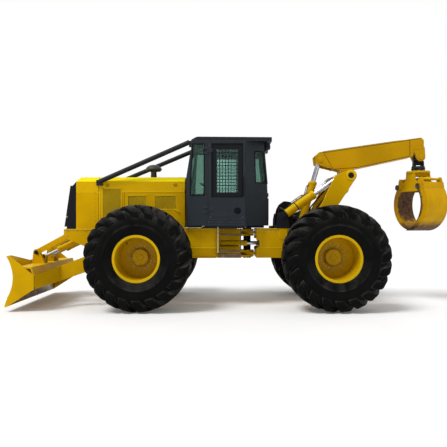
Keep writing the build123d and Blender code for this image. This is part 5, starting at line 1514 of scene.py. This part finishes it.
# ---------------------------------------------------------------- inside the cab
@dataclass
class Cushion:
    """A stuffed pad, puffed up by a short cloth simulation."""

    name: str
    low: Point
    high: Point
    voxel: float = 0.012
    cap: float = 0.012
    inset: float = 0.006
    bulge: float = 0.05
    groove: float = 0.004
    pressure: float = 4.0
    last_frame: int = 15

    def build(self) -> None:
        work = Workpiece(self.name)
        shrunk = [(a + self.inset, b - self.inset) for a, b in zip(self.low, self.high)]
        work.block([a for a, _ in shrunk], [b for _, b in shrunk])
        bmesh.ops.subdivide_edges(work.bm, edges=work.bm.edges, cuts=7, use_grid_fill=True)
        middle = Vector([(a + b) / 2 for a, b in zip(self.low, self.high)])
        half = Vector([(b - a) / 2 for a, b in zip(self.low, self.high)])
        for vert in work.bm.verts:
            part = Vector([(v - m) / h for v, m, h in zip(vert.co, middle, half)])
            pull = 1 - self.bulge * (1 - part.x**2) * (1 - part.y**2) * (1 - part.z**2)
            vert.co = middle + Vector([p * h * pull for p, h in zip(part, half)])
            channel = math.cos(part.y * math.pi * 2.5) ** 8
            if abs(part.x) <= 0.999:
                vert.co.z -= self.groove * channel * max(0.0, part.z)
        work.soften(0.02, 3, 50)
        piece = work.done(FRONT, WEAVE, replaces=["operator_seat"], smooth=80)
        self.puff(piece)

    def puff(self, piece: bpy.types.Object) -> None:
        """Blow the pad up a little from inside, with its movement capped."""
        bpy.context.view_layer.objects.active = piece
        remesh = piece.modifiers.new("even", "REMESH")
        remesh.mode = "VOXEL"
        remesh.voxel_size = self.voxel
        bpy.ops.object.modifier_apply(modifier=remesh.name)
        rest = [v.co.copy() for v in piece.data.vertices]
        cloth = piece.modifiers.new("stuffing", "CLOTH")
        cloth.settings.use_pressure = True
        cloth.settings.uniform_pressure_force = self.pressure
        cloth.settings.effector_weights.gravity = 0.0
        for frame_number in range(1, self.last_frame + 1):
            bpy.context.scene.frame_set(frame_number)
        bpy.ops.object.modifier_apply(modifier=cloth.name)
        for vert, start in zip(piece.data.vertices, rest):
            move = vert.co - start
            if move.length > self.cap:
                vert.co = start + move.normalized() * self.cap
        smooth = piece.modifiers.new("smooth", "SUBSURF")
        smooth.levels = smooth.render_levels = 1
        piece.data.shade_smooth()
        bpy.context.scene.frame_set(1)


@dataclass
class Inside:
    """Operator's seat and controls."""

    arm: float = 0.3

    def build(self) -> None:
        """Build the seat, its arms, and the controls."""
        Cushion("seat_cushion", (-0.1, -0.255, 1.79), (0.405, 0.255, 1.905)).build()
        Cushion("seat_back", (-0.165, -0.245, 1.915), (-0.045, 0.245, 2.545)).build()
        for side in Side:
            y = side.value * self.arm
            Cushion(
                f"armrest_{side.name.lower()}", (-0.035, y - 0.034, 1.995), (0.295, y + 0.034, 2.038), voxel=0.008,
                cap=0.003,
            ).build()
        base = Workpiece("seat_base")
        base.block((-0.05, -0.18, 1.546), (0.29, 0.18, 1.7))
        base.block((-0.085, -0.235, 1.745), (0.39, 0.235, 1.788))
        for step in range(5):
            inset = 0.012 * (step % 2)
            base.block(
                (-0.03 + inset, -0.17 + inset, 1.698 + step * 0.0095),
                (0.27 - inset, 0.17 - inset, 1.708 + step * 0.0095),
            )
        for side in Side:
            y = side.value * self.arm
            base.beam((-0.02, y, 1.992), (-0.02, y - side.value * 0.02, 1.76), 0.03, 0.018, AHEAD)
            base.beam((-0.02, side.value * 0.235, 1.768), (-0.02, side.value * 0.295, 1.768), 0.036, 0.022)
            base.beam((-0.02, y, 1.985), (0.27, y, 1.985), 0.04, 0.014)
        base.soften(0.004, 2).done(FRONT, PLASTIC)
        self.controls()

    def controls(self) -> None:
        """Set levers, dials and pedals round the console."""
        dials = Workpiece("console_dials")
        for across in (-0.22, -0.11, 0.0, 0.11, 0.22):
            profile = ((0.0, -0.002), (0.04, -0.001), (0.04, 0.006), (0.034, 0.008), (0.032, 0.003), (0.0, 0.003))
            dials.lathe(profile, (0.7, across, 2.105), UP, 24)
        dials.done(FRONT, ZINC, slot=Slot.PLASTIC)
        levers = Workpiece("console_levers")
        for across in (-0.36, -0.31, 0.33):
            foot, head = Vector((0.7, across, 1.96)), Vector((0.655, across, 2.12))
            levers.rod(foot, head, 0.006, sides=10)
            profile = ((0.0, -0.012), (0.012, -0.008), (0.017, 0.004), (0.014, 0.016), (0.0, 0.024))
            levers.lathe(profile, head, head - foot, 16)
        for across in (-0.14, 0.14):
            levers.beam((0.64, across, 1.58), (0.6, across, 1.7), 0.075, 0.012, AHEAD)
        levers.soften(0.001, 1).done(FRONT, BLACK, slot=Slot.PLASTIC)


# ---------------------------------------------------------------- frames, winch and valves
@dataclass
class Frames:
    """Details of the two frames: bolts, pins, plates, winch rope and pipes."""

    drum: Point = (-1.93, 0.0, 1.66)
    guard_face: float = 0.232
    pipe_face: float = 0.253
    pipe_pitch: float = 0.045
    tower_face: float = 0.4402
    frame_side: float = 0.42
    union_rows: tuple[float, ...] = (-0.165, -0.055, 0.055, 0.165)

    def build(self) -> None:
        """Build details of the front and the rear frame."""
        self.front()
        self.webs()
        self.articulation()
        self.rear()
        self.guards()
        self.winch()
        self.pipes()

    def front(self) -> None:
        """Bolt the sponsons and the nose, and cap the blade arms' trunnions."""
        bolts = Workpiece("front_frame_bolts")
        for x in (0.44, 0.56, 0.68, 0.8, 0.92):
            bolts.bolt((x, 0.6, 1.44), ACROSS, 0.011)
        for x, z in ((3.22, 1.4), (3.05, 1.4), (2.88, 1.4), (3.22, 1.31)):
            bolts.bolt((x, 0.48, z), ACROSS, 0.011)
        bolts.both_sides().done(FRONT, ZINC)
        plates = Workpiece("sponson_covers")
        plates.block((0.425, 0.598, 1.12), (0.931, 0.605, 1.4))
        for x in (0.45, 0.678, 0.906):
            for z in (1.145, 1.375):
                plates.bolt((x, 0.604, z), ACROSS, 0.008)
        plates.soften(0.002, 1).both_sides().done(FRONT, YELLOW)
        welds = Workpiece("front_frame_ribs")
        welds.block((2.62, 0.478, 1.42), (3.29, 0.49, 1.434))
        welds.block((0.398, 0.598, 1.462), (0.958, 0.608, 1.476))
        welds.block((0.398, 0.596, 1.082), (0.958, 0.6035, 1.092))
        # These strips take the lighter yellow: a painted highlight along the plate tops.
        welds.soften(0.002, 1).both_sides().done(FRONT, LIT_YELLOW)
        caps = Workpiece("blade_trunnion_caps")
        profile = (
            (0.0, 0.0), (0.074, 0.0), (0.078, 0.004), (0.078, 0.012), (0.07, 0.018), (0.03, 0.018), (0.026, 0.014),
            (0.0, 0.014),
        )
        caps.lathe(profile, (2.33, 0.7095, 0.97), ACROSS, 40)
        caps.both_sides().done(FRONT, YELLOW)

    def webs(self) -> None:
        """Close the frame behind the ladders, and sleeve the centre pin."""
        webs = Workpiece("front_frame_webs")
        webs.block((-0.01, 0.11, 1.095), (0.46, 0.122, 1.436))
        webs.block((0.398, 0.11, 0.95), (0.412, 0.48, 1.436))
        # The webs take the dark yellow: painted shade behind the ladders.
        webs.soften(0.002, 1).both_sides().done(FRONT, PAINTED_SHADE_YELLOW)
        floor = Workpiece("cab_rear_crossmember")
        floor.block((-0.5, -0.3, 1.458), (-0.16, 0.3, 1.504))
        floor.soften(0.004, 1).done(FRONT, BLACK)
        sleeve = Workpiece("articulation_sleeve")
        sleeve.lathe(((0.0, 0.9), (0.072, 0.9), (0.072, 1.428), (0.0, 1.428)), (PIVOT_X, 0, 0), UP, 32)
        sleeve.done(FRONT, BLACK)

    def guards(self) -> None:
        """Stand black plates beside the hoses, and clamp rigid pipes to them that climb to the arch."""
        outline = (
            (-0.757, 1.448), (-0.762, 1.6), (-0.768, 1.69), (-0.792, 1.815), (-0.84, 1.91), (-0.915, 1.965),
            (-1.01, 1.95), (-1.06, 1.86), (-1.06, 1.448),
        )
        plates = Workpiece("hose_guards")
        plates.side_plate(outline, self.guard_face, 0.006)
        plates.strips(zip(outline, outline[1:7]), self.guard_face + 0.012, (0.012, 0.03))
        plates.both_sides().done(REAR, BLACK)
        pipes = Workpiece("arch_feed_pipes")
        clamps = Workpiece("arch_feed_clamps")
        for number in range(4):
            low = self.pipe_pitch * number
            run = (
                (-0.765 - low, 1.452), (-0.772 - low, 1.6), (-0.815 - low, 1.77 - low),
                (-0.89 - low, 1.89 - 1.4 * low), (-1.035, 1.93 - 1.6 * low),
            )
            pipes.pipe([(x, self.pipe_face, z) for x, z in run], 0.013)
        for x, z in ((-0.845, 1.56), (-0.885, 1.8)):
            clamps.beam(
                (x - 0.095, self.pipe_face, z - 0.06), (x + 0.07, self.pipe_face, z + 0.05), 0.03, 0.036, ACROSS
            )
        pipes.both_sides().done(REAR, SEAL, slot=Slot.HOSE)
        clamps.soften(0.003, 1).both_sides().done(REAR, CAST)
        towers = Workpiece("arch_cylinder_tower_plates")
        outline = ((-0.985, 1.45), (-0.735, 1.45), (-0.742, 1.64), (-0.766, 1.745), (-0.92, 1.735), (-0.95, 1.64))
        towers.side_plate(outline, self.tower_face, 0.005)
        profile = ((0.0, 0.0), (0.082, 0.0), (0.082, 0.012), (0.07, 0.018), (0.0, 0.018))
        towers.lathe(profile, (-0.86, self.tower_face, 1.683), ACROSS, 36)
        towers.both_sides().done(REAR, BLACK)

    def articulation(self) -> None:
        """Cap the centre pins and bolt the caps down."""
        caps = Workpiece("articulation_caps")
        for foot, way in ((1.4345, 1), (0.8905, -1)):
            centre = (PIVOT_X, 0.0, foot)
            profile = (
                (0.0, -0.001), (0.088, 0.0), (0.088, 0.016), (0.082, 0.021), (0.03, 0.021), (0.026, 0.017),
                (0.0, 0.017),
            )
            caps.lathe(profile, centre, (0, 0, way), 48)
            caps.bolt_circle((PIVOT_X + 0.062, 0.0, foot + way * 0.021), (0, 0, way), 0.01, centre, UP, 8)
        caps.done(FRONT, CAST)

    def rear(self) -> None:
        """Edge the rear frame's side plates, and bolt on step and guard plates."""
        ribs = Workpiece("rear_frame_ribs")
        ribs.block((-1.07, 0.418, 1.432), (-0.43, 0.434, 1.446))
        ribs.block((-1.0, 0.416, 1.078), (-0.37, 0.425, 1.088))
        ribs.block((-0.445, 0.418, 1.095), (-0.42, 0.431, 1.425))
        # These strips take the lighter yellow: a painted highlight along the side plates.
        ribs.soften(0.002, 1).both_sides().done(REAR, LIT_YELLOW)
        bolts = Workpiece("rear_frame_bolts")
        for x in (-0.5, -0.6, -0.7, -0.8, -0.9):
            bolts.bolt((x, self.frame_side, 1.39), ACROSS, 0.011)
        for x in (-2.1, -1.98):
            for z in (1.1, 1.25, 1.4):
                bolts.bolt((x, self.frame_side, z), ACROSS, 0.012)
        for across in (0.1, 0.24, 0.36):
            for z in (1.06, 1.38):
                bolts.bolt((-2.17, across, z), (-1, 0, 0), 0.014)
        bolts.both_sides().done(REAR, ZINC)
        caps = Workpiece("arch_pivot_caps")
        profile = ((0.0, 0.0), (0.07, 0.0), (0.074, 0.003), (0.074, 0.008), (0.0, 0.009))
        caps.lathe(profile, (-1.39, 0.5295, 1.31), ACROSS, 40)
        caps.both_sides().done(REAR, CAST)

    def winch(self) -> None:
        """Wind rope on the drum, and give the winch a bolted cover at each end."""
        rope = Workpiece("winch_rope")
        turns, thick, inner = 24, 0.0225, 0.1295
        profile = [(inner, -0.272)]
        for turn in range(turns):
            start = -0.27 + turn * thick
            for step in range(5):
                bend = math.pi * step / 4
                profile.append(
                    (inner + 0.001 + thick / 2 * math.sin(bend), start + thick / 2 * (1 - math.cos(bend)))
                )
        profile += [(inner, -0.27 + turns * thick + 0.002), (inner, -0.272)]
        rope.lathe(profile, self.drum, ACROSS, 48)
        rope.done(REAR, ROPE)
        cover = Workpiece("winch_covers")
        x, _, z = self.drum
        for way in (-1, 1):
            centre = (x, way * 0.3195, z)
            profile = (
                (0.0, 0.0), (0.12, 0.0), (0.124, 0.004), (0.12, 0.014), (0.06, 0.02), (0.056, 0.034), (0.0, 0.036)
            )
            cover.lathe(profile, centre, (0, way, 0), 48)
            cover.bolt_circle((x + 0.095, way * 0.332, z), (0, way, 0), 0.01, centre, (0, way, 0), 10)
        cover.done(REAR, YELLOW, slot=Slot.CAST)

    def pipes(self) -> None:
        """Lead rigid pipes from the valve bank along the rear frame, with their unions, and set the valve spools.
        """
        pipes = Workpiece("valve_pipes")
        for across in (-0.19, -0.115, 0.115, 0.19):
            pipes.pipe(
                [(-1.04, across, 1.5), (-1.062, across, 1.498), (-1.072, across, 1.486), (-1.074, across, 1.462)],
                0.011,
            )
        pipes.done(REAR, BLACK)
        unions = Workpiece("hose_unions")
        for across in self.union_rows:
            unions.rod((-1.005, across, 1.598), (-1.005, across, 1.626), 0.024, sides=6)
            unions.rod((-1.005, across, 1.624), (-1.005, across, 1.662), 0.0205, tip=0.0195, sides=20)
            unions.rod((-0.698, across, 1.467), (-0.724, across, 1.467), 0.024, sides=6)
            unions.rod((-0.722, across, 1.467), (-0.752, across, 1.467), 0.0205, tip=0.0195, sides=20)
        unions.done(REAR, CAST)
        spools = Workpiece("valve_spools")
        for step in range(6):
            across = -0.19 + step * 0.076
            spools.block((-1.043, across - 0.03, 1.6), (-1.028, across + 0.03, 1.612))
            spools.rod((-0.9655, across, 1.53), (-0.945, across, 1.53), 0.018, sides=6)
            spools.rod((-0.946, across, 1.53), (-0.925, across, 1.53), 0.012, sides=16)
        spools.soften(0.002, 1).done(REAR, CAST)


# ---------------------------------------------------------------- blade
@dataclass
class Blade:
    """Stacking blade: edge bolts, link pins and weld beads."""

    bolts: int = 8
    first_bolt: float = 0.09
    bolt_pitch: float = 0.16

    def build(self) -> None:
        """Build the blade's details."""
        bolts = Workpiece("cutting_edge_bolts")
        for step in range(self.bolts):
            across = self.first_bolt + step * self.bolt_pitch
            bolts.bolt((4.069, across, 0.18), (0.94, 0, 0.34), 0.013)
        bolts.both_sides().done("blade", PIN_STEEL)
        pins = Workpiece("blade_link_pins")
        profile = ((0.0, 0.0), (0.036, 0.0), (0.038, 0.003), (0.038, 0.009), (0.03, 0.013), (0.0, 0.013))
        pins.lathe(profile, (3.83, 0.4445, 0.995), ACROSS, 32)
        pins.beam((3.83, 0.4475, 0.995), (3.78, 0.4475, 0.955), 0.026, 0.006, ACROSS)
        pins.lathe(profile, (3.74, 0.3125, 0.9), ACROSS, 32)
        pins.both_sides().done("blade", BLACK)
        beads = Workpiece("blade_beads")
        beads.beam((3.56, 0.62, 0.641), (3.3, 0.6, 0.76), 0.016, 0.01)
        beads.soften(0.003, 1).both_sides().done("blade", LIT_YELLOW)


# ---------------------------------------------------------------- arch and boom
@dataclass
class ArchBoom:
    """Arch and boom: pin caps, doublers, seams and pipes."""

    boom_face: float = 0.17
    pivot: Point = (-2.121, 0.52, 2.447)

    def build(self) -> None:
        """Build the arch's and the boom's details."""
        caps = Workpiece("boom_pivot_caps")
        profile = (
            (0.052, -0.001), (0.088, 0.0), (0.092, 0.003), (0.092, 0.012), (0.086, 0.015), (0.06, 0.015),
            (0.052, 0.011), (0.052, -0.001),
        )
        caps.lathe(profile, self.pivot, ACROSS, 48)
        caps.both_sides().done("arch", LIT_YELLOW)
        hubs = Workpiece("boom_pivot_pins")
        profile = ((0.0, 0.0), (0.05, 0.0), (0.054, 0.018), (0.046, 0.024), (0.0, 0.024))
        hubs.lathe(profile, self.pivot, ACROSS, 36)
        x, _, z = self.pivot
        for turn in (0.6, 2.7, 4.8):
            hubs.bolt((x + 0.03 * math.cos(turn), 0.5435, z + 0.03 * math.sin(turn)), ACROSS, 0.008)
        hubs.both_sides().done("arch", BLACK)
        leg = Workpiece("arch_leg_pipes")
        for inset in (0.0, 0.034):
            run = ((-1.47 + inset, 1.8 - inset), (-1.54, 1.905), (-1.69, 2.08), (-1.8, 2.215))
            leg.pipe([(x + inset * 0.6, 0.436, z - inset * 0.6) for x, z in run], 0.013)
        leg.both_sides().done("arch", SEAL, slot=Slot.HOSE)
        bands = Workpiece("arch_cylinder_bands")
        foot, eye = Vector((-0.86, 0.37, 1.683)), Vector((-1.88, 0.37, 2.4))
        bands.lathe(
            [
                (radius, 0.306 + along)
                for radius, along in ((0.079, 0.0), (0.084, 0.001), (0.084, 0.017), (0.079, 0.018), (0.079, 0.0))
            ],
            foot, eye - foot, 36,
        )
        bands.both_sides().done("arch_barrels", BLACK)
        self.boom()
        self.pipes()

    def boom(self) -> None:
        """Put doubler plates, weld seams and pin caps on the boom."""
        face = self.boom_face
        seams = Workpiece("boom_seams")
        lines = (
            ((-1.688, 2.896), (-1.86, 2.597)), ((-1.86, 2.597), (-2.33, 2.632)), ((-2.33, 2.632), (-3.35, 2.852)),
            ((-3.35, 2.852), (-3.35, 3.16)), ((-1.65, 2.918), (-3.56, 3.195)),
        )
        seams.strips(lines, face, (0.009, 0.006))
        # The seams are drawn in the dark yellow: painted shade along the plate joints.
        seams.soften(0.002, 1).both_sides().done("boom", PAINTED_SHADE_YELLOW)
        plate = Workpiece("boom_doublers")
        outline = ((-3.56, 3.175), (-3.375, 3.15), (-3.375, 2.9), (-3.44, 2.985), (-3.6, 3.0))
        plate.side_plate(outline, face - 0.001, 0.006)
        tail = ((-1.56, 2.78), (-1.58, 2.89), (-1.65, 2.88), (-1.84, 2.64), (-1.72, 2.67))
        plate.side_plate(tail, face - 0.001, 0.006)
        plate.soften(0.0015, 1).both_sides().done("boom", SHADED_BOOM_YELLOW)
        pins = Workpiece("boom_pins")
        profile = ((0.0, 0.0), (0.05, 0.0), (0.053, 0.003), (0.053, 0.009), (0.04, 0.013), (0.0, 0.013))
        pins.lathe(profile, (-3.575, face + 0.004, 2.837), ACROSS, 32)
        pins.lathe(profile, (-1.614, face, 2.777), ACROSS, 32)
        pins.both_sides().done("boom", SHADED_BOOM_YELLOW)

    def pipes(self) -> None:
        """Clip two rigid pipes along the top of the boom."""
        pipes = Workpiece("boom_pipes")
        clips = Workpiece("boom_pipe_clips")
        for across in (-0.04, 0.04):
            run = [
                (-1.64, across, 2.927), (-1.7, across, 2.953), (-2.4, across, 3.054), (-3.1, across, 3.155),
                (-3.48, across, 3.2085),
            ]
            pipes.pipe([(x, y, z + 0.004 - 0.01 * (x < -3.4)) for x, y, z in run], 0.0085)
        for x, z in ((-1.9, 2.975), (-2.3, 3.0325), (-2.7, 3.09), (-3.05, 3.1405)):
            clips.beam((x, -0.062, z + 0.003), (x, 0.062, z + 0.003), 0.026, 0.014, (0.142, 0, 0.99))
        pipes.done("boom", BLACK)
        clips.soften(0.002, 1).done("boom", BLACK)


# ---------------------------------------------------------------- grapple
@dataclass
class Grapple:
    """Grapple: bushings, rotator rings and head plates."""

    centre: Pair = (-3.575, 0.0)
    turned: float = math.radians(22)
    pin_spread: float = 0.285
    pin_height: float = 2.256

    def spot(self, along: float, spread: float, height: float) -> Vector:
        """Return a point from its place along the logs, across them, and its height."""
        log = Vector((math.cos(self.turned), math.sin(self.turned), 0))
        out = Vector((-math.sin(self.turned), math.cos(self.turned), 0))
        return Vector((*self.centre, height)) + log * along + out * spread

    def build(self) -> None:
        """Build the grapple's details."""
        log = self.spot(1, 0, 0) - self.spot(0, 0, 0)
        bushes = Workpiece("grapple_bushings")
        profile = (
            (0.0, 0.0), (0.052, 0.0), (0.056, 0.003), (0.056, 0.01), (0.044, 0.014), (0.03, 0.014), (0.027, 0.008),
            (0.0, 0.008),
        )
        for end in (-1, 1):
            for spread in (-self.pin_spread, self.pin_spread):
                foot = self.spot(end * 0.2735, spread, self.pin_height)
                bushes.lathe(profile, foot, log * end, 32)
        bushes.done("grapple_head", PIN_STEEL)
        cover = Workpiece("tong_lever_cover")
        for low, high in (((0.432, 2.196), (0.424, 2.27)), ((0.424, 2.266), (0.408, 2.336))):
            ends = [self.spot(0.0, spread - 0.006, height) for spread, height in (low, high)]
            cover.beam(ends[0], ends[1], 0.502, 0.012, self.spot(0, 1, 0) - self.spot(0, 0, 0))
        cover.soften(0.002, 1).done("tong_left", TONG)
        ring = Workpiece("grapple_turntable_bolts")
        centre = (*self.centre, 2.5655)
        ring.bolt(self.spot(0.2, 0, 2.5655), UP, 0.012)
        ring.around(ring.bm.verts, centre, UP, 14)
        ring.done("grapple_head", ZINC)
        motor = Workpiece("grapple_rotator_rings")
        for height in (2.58, 2.64):
            band = ((0.124, 0.0), (0.129, 0.002), (0.129, 0.012), (0.124, 0.014), (0.124, 0.0))
            motor.lathe(band, (*self.centre, height), UP, 40)
        for turn in range(6):
            way = Vector((math.cos(turn * math.pi / 3 + 0.5), math.sin(turn * math.pi / 3 + 0.5), 0))
            motor.bolt(Vector((*self.centre, 2.617)) + way * 0.124, way, 0.012)
        motor.done("grapple_rotator", CAST, slot=Slot.BLACK)


# ---------------------------------------------------------------- hydraulic cylinders
@dataclass
class Ram:
    """Fittings of one hydraulic cylinder: gland, ports and feed pipe."""

    name: str
    body: str
    base: Point
    eye: Point
    start: float
    mouth: float
    radius: float
    rod: float
    ports: Point = UP
    mirrored: bool = True
    proud: float = 0.005
    piped: bool = True
    gland: float = 0.07
    pipe: float = 0.0075
    clearance: float = 0.0015

    def build(self) -> None:
        """Build the fittings, on both sides for a mirrored pair."""
        foot = Vector(self.base)
        along = (Vector(self.eye) - foot).normalized()
        out = Vector(self.ports)
        out = (out - along * out.dot(along)).normalized()
        gland = Workpiece(f"{self.name}_glands")
        inner, outer = self.rod + self.clearance, self.radius + self.proud
        mouth, rear = self.mouth, self.mouth - self.gland
        profile = (
            (inner, rear), (outer - 0.004, rear), (outer, rear + 0.006), (outer, mouth - 0.02),
            (outer - 0.006, mouth - 0.004), (self.rod + 0.012, mouth + 0.002), (self.rod + 0.01, mouth + 0.006),
            (inner, mouth + 0.006), (inner, rear),
        )
        gland.lathe(profile, foot, along, 36)
        low, high = self.radius - 0.004, self.radius + 0.004
        ring = ((low, 0.0), (high, 0.002), (high, 0.022), (low, 0.026), (low, 0.0))
        gland.lathe([(r, a + self.start + 0.004) for r, a in ring], foot, along, 36)
        self.finished(gland, YELLOW)
        if not self.piped:
            return
        feed = Workpiece(f"{self.name}_feed_pipes")
        near, far = self.start + 0.06, self.mouth - 0.095
        surface, lift = self.radius - 0.004, self.radius + 0.018
        marks = (
            (far, surface), (far - 0.004, lift - 0.006), (far - 0.022, lift), (near + 0.06, lift),
            (near + 0.046, lift + 0.006),
        )
        feed.pipe([foot + along * a + out * r for a, r in marks], self.pipe, 10)
        for place in (near, far):
            spot = foot + along * place
            feed.rod(spot + out * surface, spot + out * (self.radius + 0.014), 0.019, sides=6)
        for share in (0.35, 0.7):
            spot = foot + along * (near + (far - near) * share)
            middle = spot + out * (lift - 0.006)
            feed.beam(middle - along * 0.008, middle + along * 0.008, 0.034, 0.026, out)
        self.finished(feed, CAST)

    def finished(self, work: Workpiece, finish: Finish) -> None:
        """Mirror the mesh if the cylinder is one of a pair, and dress it."""
        if self.mirrored:
            work.both_sides()
        work.done(self.body, finish)


RAMS = (
    Ram("blade_cylinder", "blade_barrels", (2.93, 0.25, 1.29), (3.74, 0.25, 0.9), 0.052, 0.59, 0.056, 0.03),
    Ram("arch_cylinder", "arch_barrels", (-0.86, 0.37, 1.683), (-1.88, 0.37, 2.4), 0.082, 0.73, 0.08, 0.045),
    Ram(
        "boom_cylinder", "boom_barrels", (-1.22, 0.095, 1.45), (-1.614, 0.095, 2.777), 0.052, 0.95, 0.066, 0.034,
        ports=AHEAD,
    ),
    *(
        Ram(
            f"steering_cylinder_{hand.name.lower()}", f"steering_barrel_{hand.name.lower()}",
            (0.38, hand.value * 0.34, 1.16), (-0.448, hand.value * 0.2, 1.16),
            0.034, 0.548, 0.047, 0.028, mirrored=False, proud=0.001, piped=False,
        )
        for hand in Side
    ),
)


# ---------------------------------------------------------------- the whole machine
FINISHES: dict[Finish, tuple[str, ...]] = {
    YELLOW: (
        "front_frame", "rear_frame", "front_axle", "rear_axle", "blade_moldboard", "blade_arms", "blade_links",
        "blade_barrels", "arch", "arch_barrels", "boom_barrels", "steering_barrel_left", "steering_barrel_right",
        "grapple_head", "grapple_barrel", "engine_side_panels",
    ),
    LIT_YELLOW: ("hood",),
    SHADED_BOOM_YELLOW: ("boom",),
    TONG: ("tong_left", "tong_right"),
    GRIP: ("cab_steps",),
    SLATE: ("cab_shell", "door_left", "door_right"),
    SLATE_DARK: ("cab_roof", "limb_risers", "air_precleaner"),
    BLACK: ("grille_door", "radiator_housing", "valve_bank", "grapple_swing_link", "grapple_rotator"),
    GLASS: ("cab_glass",),
    LIGHTER_DOOR_GLASS: ("door_glass_left", "door_glass_right"),
    CHROME: ("arch_rods", "boom_rods", "blade_rods", "steering_rod_left", "steering_rod_right", "grapple_rod"),
    STEEL: ("cutting_edge", "radiator"),
    CAST: ("engine_block", "winch"),
    PLASTIC: ("control_console",),
    WEAVE: ("operator_seat",),
}


def main() -> None:
    """Build the scene in order: studio and hoses first, then each sub-assembly."""
    Studio().build()
    Hoses().build()
    for finish, names in FINISHES.items():
        dress(finish, *names)
    for label, axle_x in (("front", 1.766), ("rear", -1.691)):
        for side in Side:
            Wheel(f"{label}_{side.name.lower()}", axle_x, side).build()
    for assembly in (Nose(), Cab(), Inside(), Frames(), Blade(), ArchBoom(), Grapple(), *RAMS):
        assembly.build()
    scene = bpy.context.scene
    scene.view_settings.view_transform = "Standard"
    bpy.context.view_layer.update()
    LOG.info("sizes written")


if __name__ == "__main__":
    logging.basicConfig(level=logging.INFO, format="%(name)s: %(message)s")
    main()
